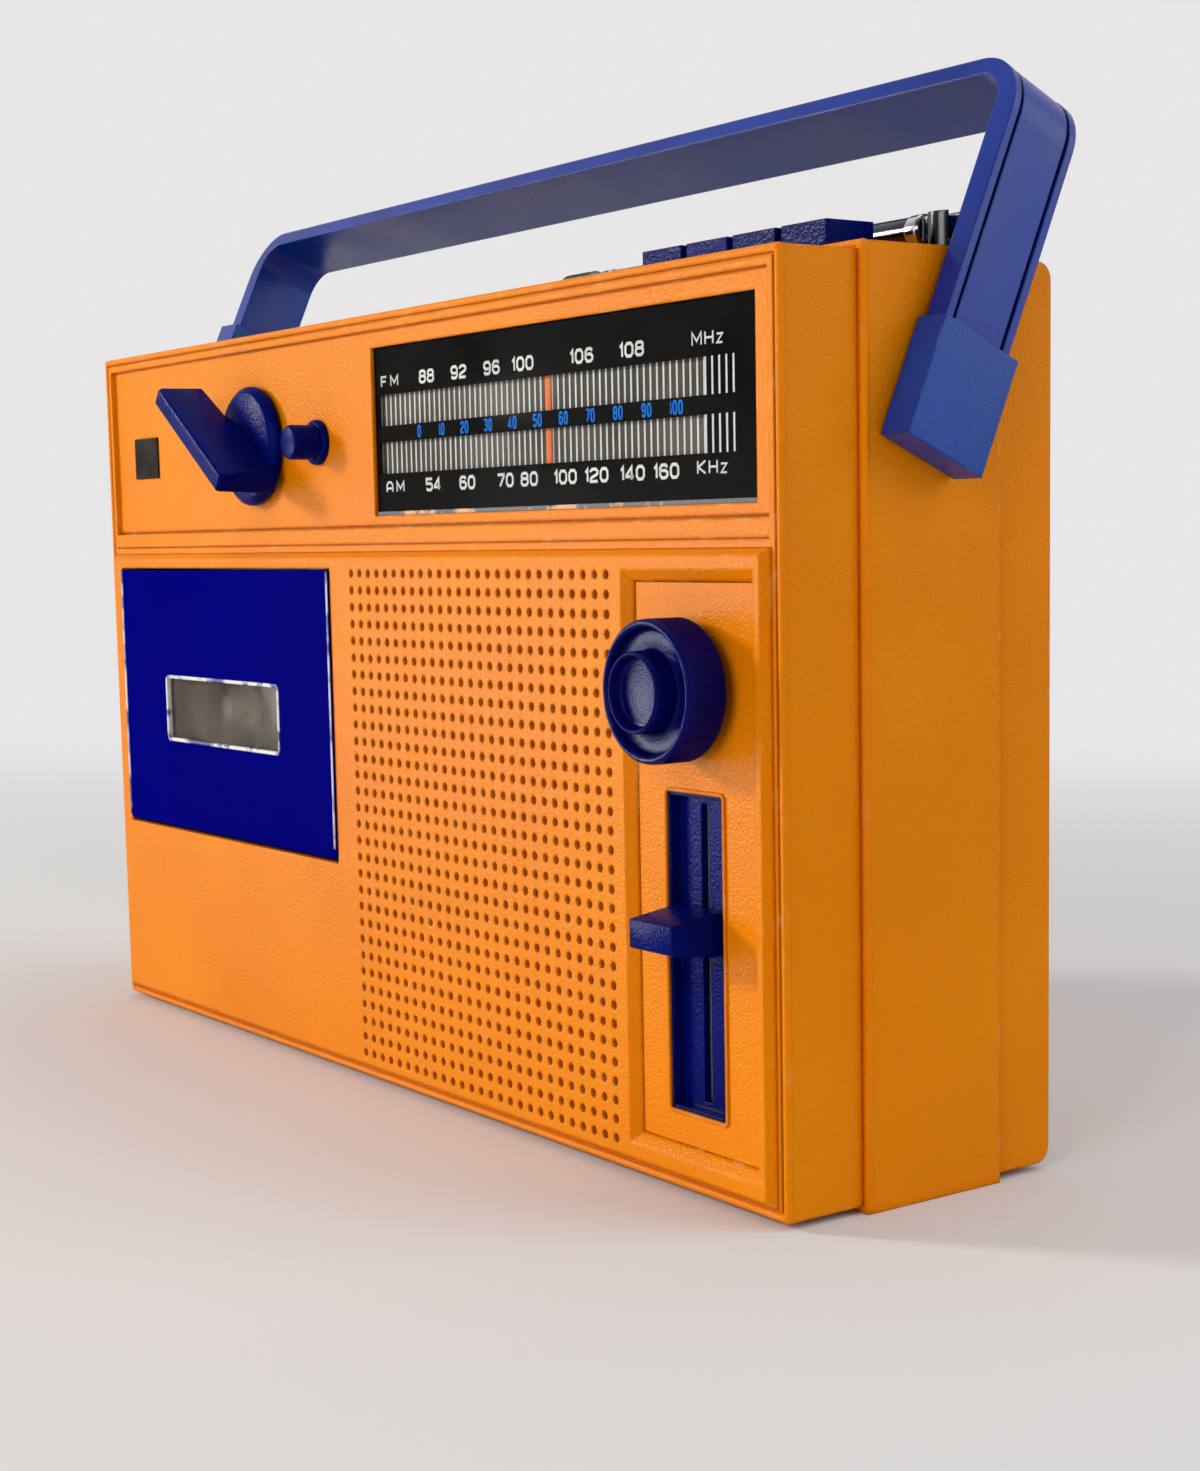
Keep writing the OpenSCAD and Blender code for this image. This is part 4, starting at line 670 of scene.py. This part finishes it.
def ribbon(line, w):
    """Line widened by w / 2 to each side: a corner's two points lie on the bisector of its edges."""
    p = np.array(line, float)
    d = np.diff(p, axis=0)
    d /= np.linalg.norm(d, axis=1)[:, None]
    n = np.stack([-d[:, 1], d[:, 0]], -1)
    shut = np.allclose(p[0], p[-1])
    before = np.vstack([n[-1:] if shut else n[:1], n])
    after = np.vstack([n, n[:1] if shut else n[-1:]])
    m = (before + after) / np.maximum(1 + np.sum(before * after, 1), LEAST_MITRE)[:, None] * w / 2
    return np.stack([p + m, p - m], 1)


def printed(name, words, tall, wide, stroke, gap, material):
    """Words (text, x, z) centred at x and z on the dial's face, all in one thin mesh of ribbons. A
    sign's second line lies a hair in front of its first, so that ribbons never share a plane."""
    points, faces = [], []
    for text, x, z in words:
        widths = [wide * SHARE.get(sign, 1.0) for sign in text]
        left = x - (sum(widths) + gap * (len(text) - 1)) / 2
        for sign, width in zip(text, widths):
            low = (left + stroke / 2, z - tall / 2 + stroke / 2)
            for layer, line in enumerate(SIGNS[sign]):
                scaled = np.array(line) * (width - stroke, tall - stroke) + low
                band = ribbon(scaled, stroke).reshape(-1, 2)
                k = len(points) + 2 * np.arange(len(line) - 1)[:, None]
                faces += (k + np.array([0, 1, 3, 2])).tolist()
                depth = np.full(len(band), PRINT_Y - LAYER_STEP * layer)
                points += np.column_stack([band[:, 0], depth, band[:, 1]]).tolist()
            left += width + gap
    mesh = bpy.data.meshes.new(name)
    mesh.from_pydata((np.array(points) * MM).tolist(), [], faces)
    made = thin(name, mesh, PRINT_THICK, material)
    return made


print("print stands at", PRINT_Y)

# %% Numbers on the dial
FM_Z, LOG_Z, AM_Z = 168.2, 156.05, 143.9
fm = zip(("88", "92", "96", "100", "106", "108"), (22.9, 36.5, 50.0, 62.1, 83.9, 101.2))
am = zip(("54", "60", "70", "80", "100", "120", "140", "160"),
         (24.6, 39.0, 54.4, 63.7, 77.2, 88.4, 100.8, 112.0))
stations = [(w, x, FM_Z) for w, x in fm] + [(w, x, AM_Z) for w, x in am]
bands = [("FM", 6.4, FM_Z - 0.1), ("AM", 7.7, AM_Z - 0.1)]
units = [("MHz", 125.5, FM_Z + 0.4), ("KHz", 126.5, AM_Z + 0.4)]
tens = [(str(10 * k), 19.1 + 9.64 * k, LOG_Z) for k in range(11)]
numbers = printed("dial_numbers", stations, tall=3.1, wide=3.0, stroke=0.62, gap=0.5,
                  material=white_print)
printed("dial_bands", bands, tall=2.7, wide=3.1, stroke=0.5, gap=1.5, material=white_print)
printed("dial_units", units, tall=2.8, wide=2.8, stroke=0.42, gap=0.8, material=white_print)
printed("dial_log", tens, tall=2.8, wide=1.5, stroke=0.46, gap=0.28, material=blue_print)
print("numbers", len(stations), "strokes", len(numbers.data.polygons))

# %% [markdown]
# ## Antenna rings and tip
# The telescopic rod has a bright ring where one tube enters the next, and a black tip that is a
# little thicker than the tube.

# %% Antenna rings
ROD = ((0, 1, 0), (0, 0, 1), (-1, 0, 0))
TIP = ((0, 1, 0), (0, 0, 1), (1, 0, 0))
ROD_YZ = (8.3, 189.3)
collar_profile = [(3.0, -1.6), (3.2, -1.4), (3.25, 0), (3.2, 1.4), (3.0, 1.6)]
tip_profile = [(0.02, 0), (2.6, 0.05), (3.2, 0.3), (3.6, 1.0), (3.6, 9.2), (3.3, 9.8), (1.6, 10.0)]
for k, x in enumerate((35.6, 138.6)):
    collar = turned(f"antenna_ring_{k}", collar_profile, (x, *ROD_YZ), ROD, ring_bright,
                    "antenna_tube_1", n=48)
tip = turned("antenna_tip", tip_profile, (19.5, *ROD_YZ), TIP, black, "antenna_tube_3", n=48)
print("antenna", len(collar.data.polygons), len(tip.data.polygons))

# %% [markdown]
# ## Studio
# A pale floor runs up into a pale wall in one curve. The lamps light the front from the left and
# above, so that the right side falls into gentle shade as it does in the photograph. One small
# lamp shows in glossy surfaces only and gives the control column and the knobs their sheen.

# %% Paper
PALE = tint(232, 230, 230)
pale = bpy.data.materials.new("studio_paper")
pale.use_nodes = True
paper = pale.node_tree.nodes["Principled BSDF"]
paper.inputs["Base Color"].default_value = tint(226, 224, 222)
paper.inputs["Roughness"].default_value = 0.9
BACK = (-0.62, 0.78, 0.0)


def seen_share(tree, place, near, far):
    """Shares for mixing in the pale backdrop: whether a ray comes from the camera, how far its place
    lies to the back, rising from near to far along BACK, and that rise for mirrored or passing rays."""
    ray = add(tree, "LightPath").outputs
    behind = add(tree, "VectorMath", {0: place, 1: BACK}, operation="DOT_PRODUCT")
    rise = add(tree, "MapRange", {"Value": behind.outputs["Value"], "From Min": near, "From Max": far},
               interpolation_type="SMOOTHSTEP").outputs[0]
    through = add(tree, "Math", {0: ray["Is Glossy Ray"], 1: ray["Is Transmission Ray"]},
                  operation="ADD", use_clamp=True)
    mirrored = add(tree, "Math", {0: through.outputs[0], 1: rise}, operation="MULTIPLY").outputs[0]
    return ray["Is Camera Ray"], rise, mirrored


paper_tree = pale.node_tree
spot = add(paper_tree, "TexCoord").outputs["Object"]
camera_ray, rise, mirrored = seen_share(paper_tree, spot, 0.15, 0.9)
away = add(paper_tree, "VectorMath", {0: spot}, operation="LENGTH")
fade = add(paper_tree, "MapRange", {"Value": away.outputs["Value"], "From Min": 0.7,
                                    "From Max": 1.6}, interpolation_type="SMOOTHSTEP")
either = add(paper_tree, "Math", {0: rise, 1: fade.outputs[0]}, operation="MAXIMUM")
direct = add(paper_tree, "Math", {0: camera_ray, 1: either.outputs[0]}, operation="MULTIPLY")
share = add(paper_tree, "Math", {0: direct.outputs[0], 1: mirrored}, operation="ADD", use_clamp=True)
glow = add(paper_tree, "Emission", {"Color": PALE, "Strength": 1.0})
both = add(paper_tree, "MixShader", {0: share.outputs[0], 1: paper.outputs[0], 2: glow.outputs[0]})
paper_tree.links.new(both.outputs[0], paper_tree.nodes["Material Output"].inputs["Surface"])
print("paper nodes", len(paper_tree.nodes))

# %% Floor
FLOOR_END, BEND_AT, BEND_R, WALL_TOP = -3.0, 1.2, 0.8, 4.0
turn_up = np.radians(np.linspace(0, 90, 24))
bend = np.stack([BEND_AT + BEND_R * np.sin(turn_up), BEND_R - BEND_R * np.cos(turn_up)], -1)
path = np.concatenate([[[FLOOR_END, 0.0]], bend, [[BEND_AT + BEND_R, WALL_TOP]]])
lean = np.array(BACK[:2])
side = np.array([BACK[1], -BACK[0]])
across = np.linspace(-5, 5, 9)
floor_pts = np.stack([
    across[None, :] * side[0] + path[:, :1] * lean[0],
    across[None, :] * side[1] + path[:, :1] * lean[1],
    np.repeat(path[:, 1:], len(across), 1)], -1)
n, m, _ = floor_pts.shape
i, j = np.meshgrid(np.arange(n - 1), np.arange(m - 1), indexing="ij")
sweep = np.stack([i * m + j, i * m + j + 1, (i + 1) * m + j + 1, (i + 1) * m + j], -1).reshape(-1, 4)
floor_mesh = bpy.data.meshes.new("studio_floor")
floor_mesh.from_pydata(floor_pts.reshape(-1, 3).tolist(), [], sweep.tolist())
floor_mesh.polygons.foreach_set("use_smooth", np.ones(len(floor_mesh.polygons), bool))
studio = bpy.data.objects.new("studio_floor", floor_mesh)
studio.data.materials.append(pale)
bpy.context.collection.objects.link(studio)
print("floor", len(floor_mesh.polygons))


# %% Lamps
def lamp(name, place, aim, size, power, colour=(1, 1, 1)):
    """Square area lamp that looks at a point."""
    data = bpy.data.lights.new(name, "AREA")
    data.size = size
    data.energy = power
    data.color = colour
    obj = bpy.data.objects.new(name, data)
    obj.location = place
    obj.rotation_euler = (Vector(aim) - Vector(place)).to_track_quat("-Z", "Y").to_euler()
    bpy.context.collection.objects.link(obj)
    return obj


lamp("key", (-1.35, -1.15, 0.65), (0.05, 0, 0.1), 0.28, 21, (1.0, 0.96, 0.9))
lamp("window", (0.45, -0.95, 0.42), (0.1, 0, 0.1), 0.6, 3.6, (1.0, 0.98, 0.95))
lamp("wall", (0.9, 0.75, 0.62), (0.1, 0, 0.1), 0.9, 6, (0.76, 0.88, 1.0))
lamp("top", (0.1, 0.2, 1.5), (0, 0, 0.1), 1.0, 5)
glint = lamp("glint", (-0.352, -0.403, 0.05), (0.12, -0.04, 0.08), 0.22, 2.4)
glint.visible_diffuse = glint.visible_camera = False
print("lamps", len(bpy.data.lights))

# %% Surroundings
world = bpy.data.worlds.new("studio_world")
bpy.context.scene.world = world
world.use_nodes = True
room = world.node_tree
dim = room.nodes["Background"]
dim.inputs["Color"].default_value = (0.9, 0.92, 0.95, 1)
dim.inputs["Strength"].default_value = 0.3
camera_ray, _, mirrored = seen_share(room, add(room, "TexCoord").outputs["Generated"], -0.1, 0.4)
share = add(room, "Math", {0: camera_ray, 1: mirrored}, operation="ADD", use_clamp=True)
bright = add(room, "Background", {"Color": PALE, "Strength": 1.0})
both = add(room, "MixShader", {0: share.outputs[0], 1: dim.outputs[0], 2: bright.outputs[0]})
room.links.new(both.outputs[0], room.nodes["World Output"].inputs["Surface"])
bpy.context.scene.view_settings.view_transform = "Standard"
print("studio ready")
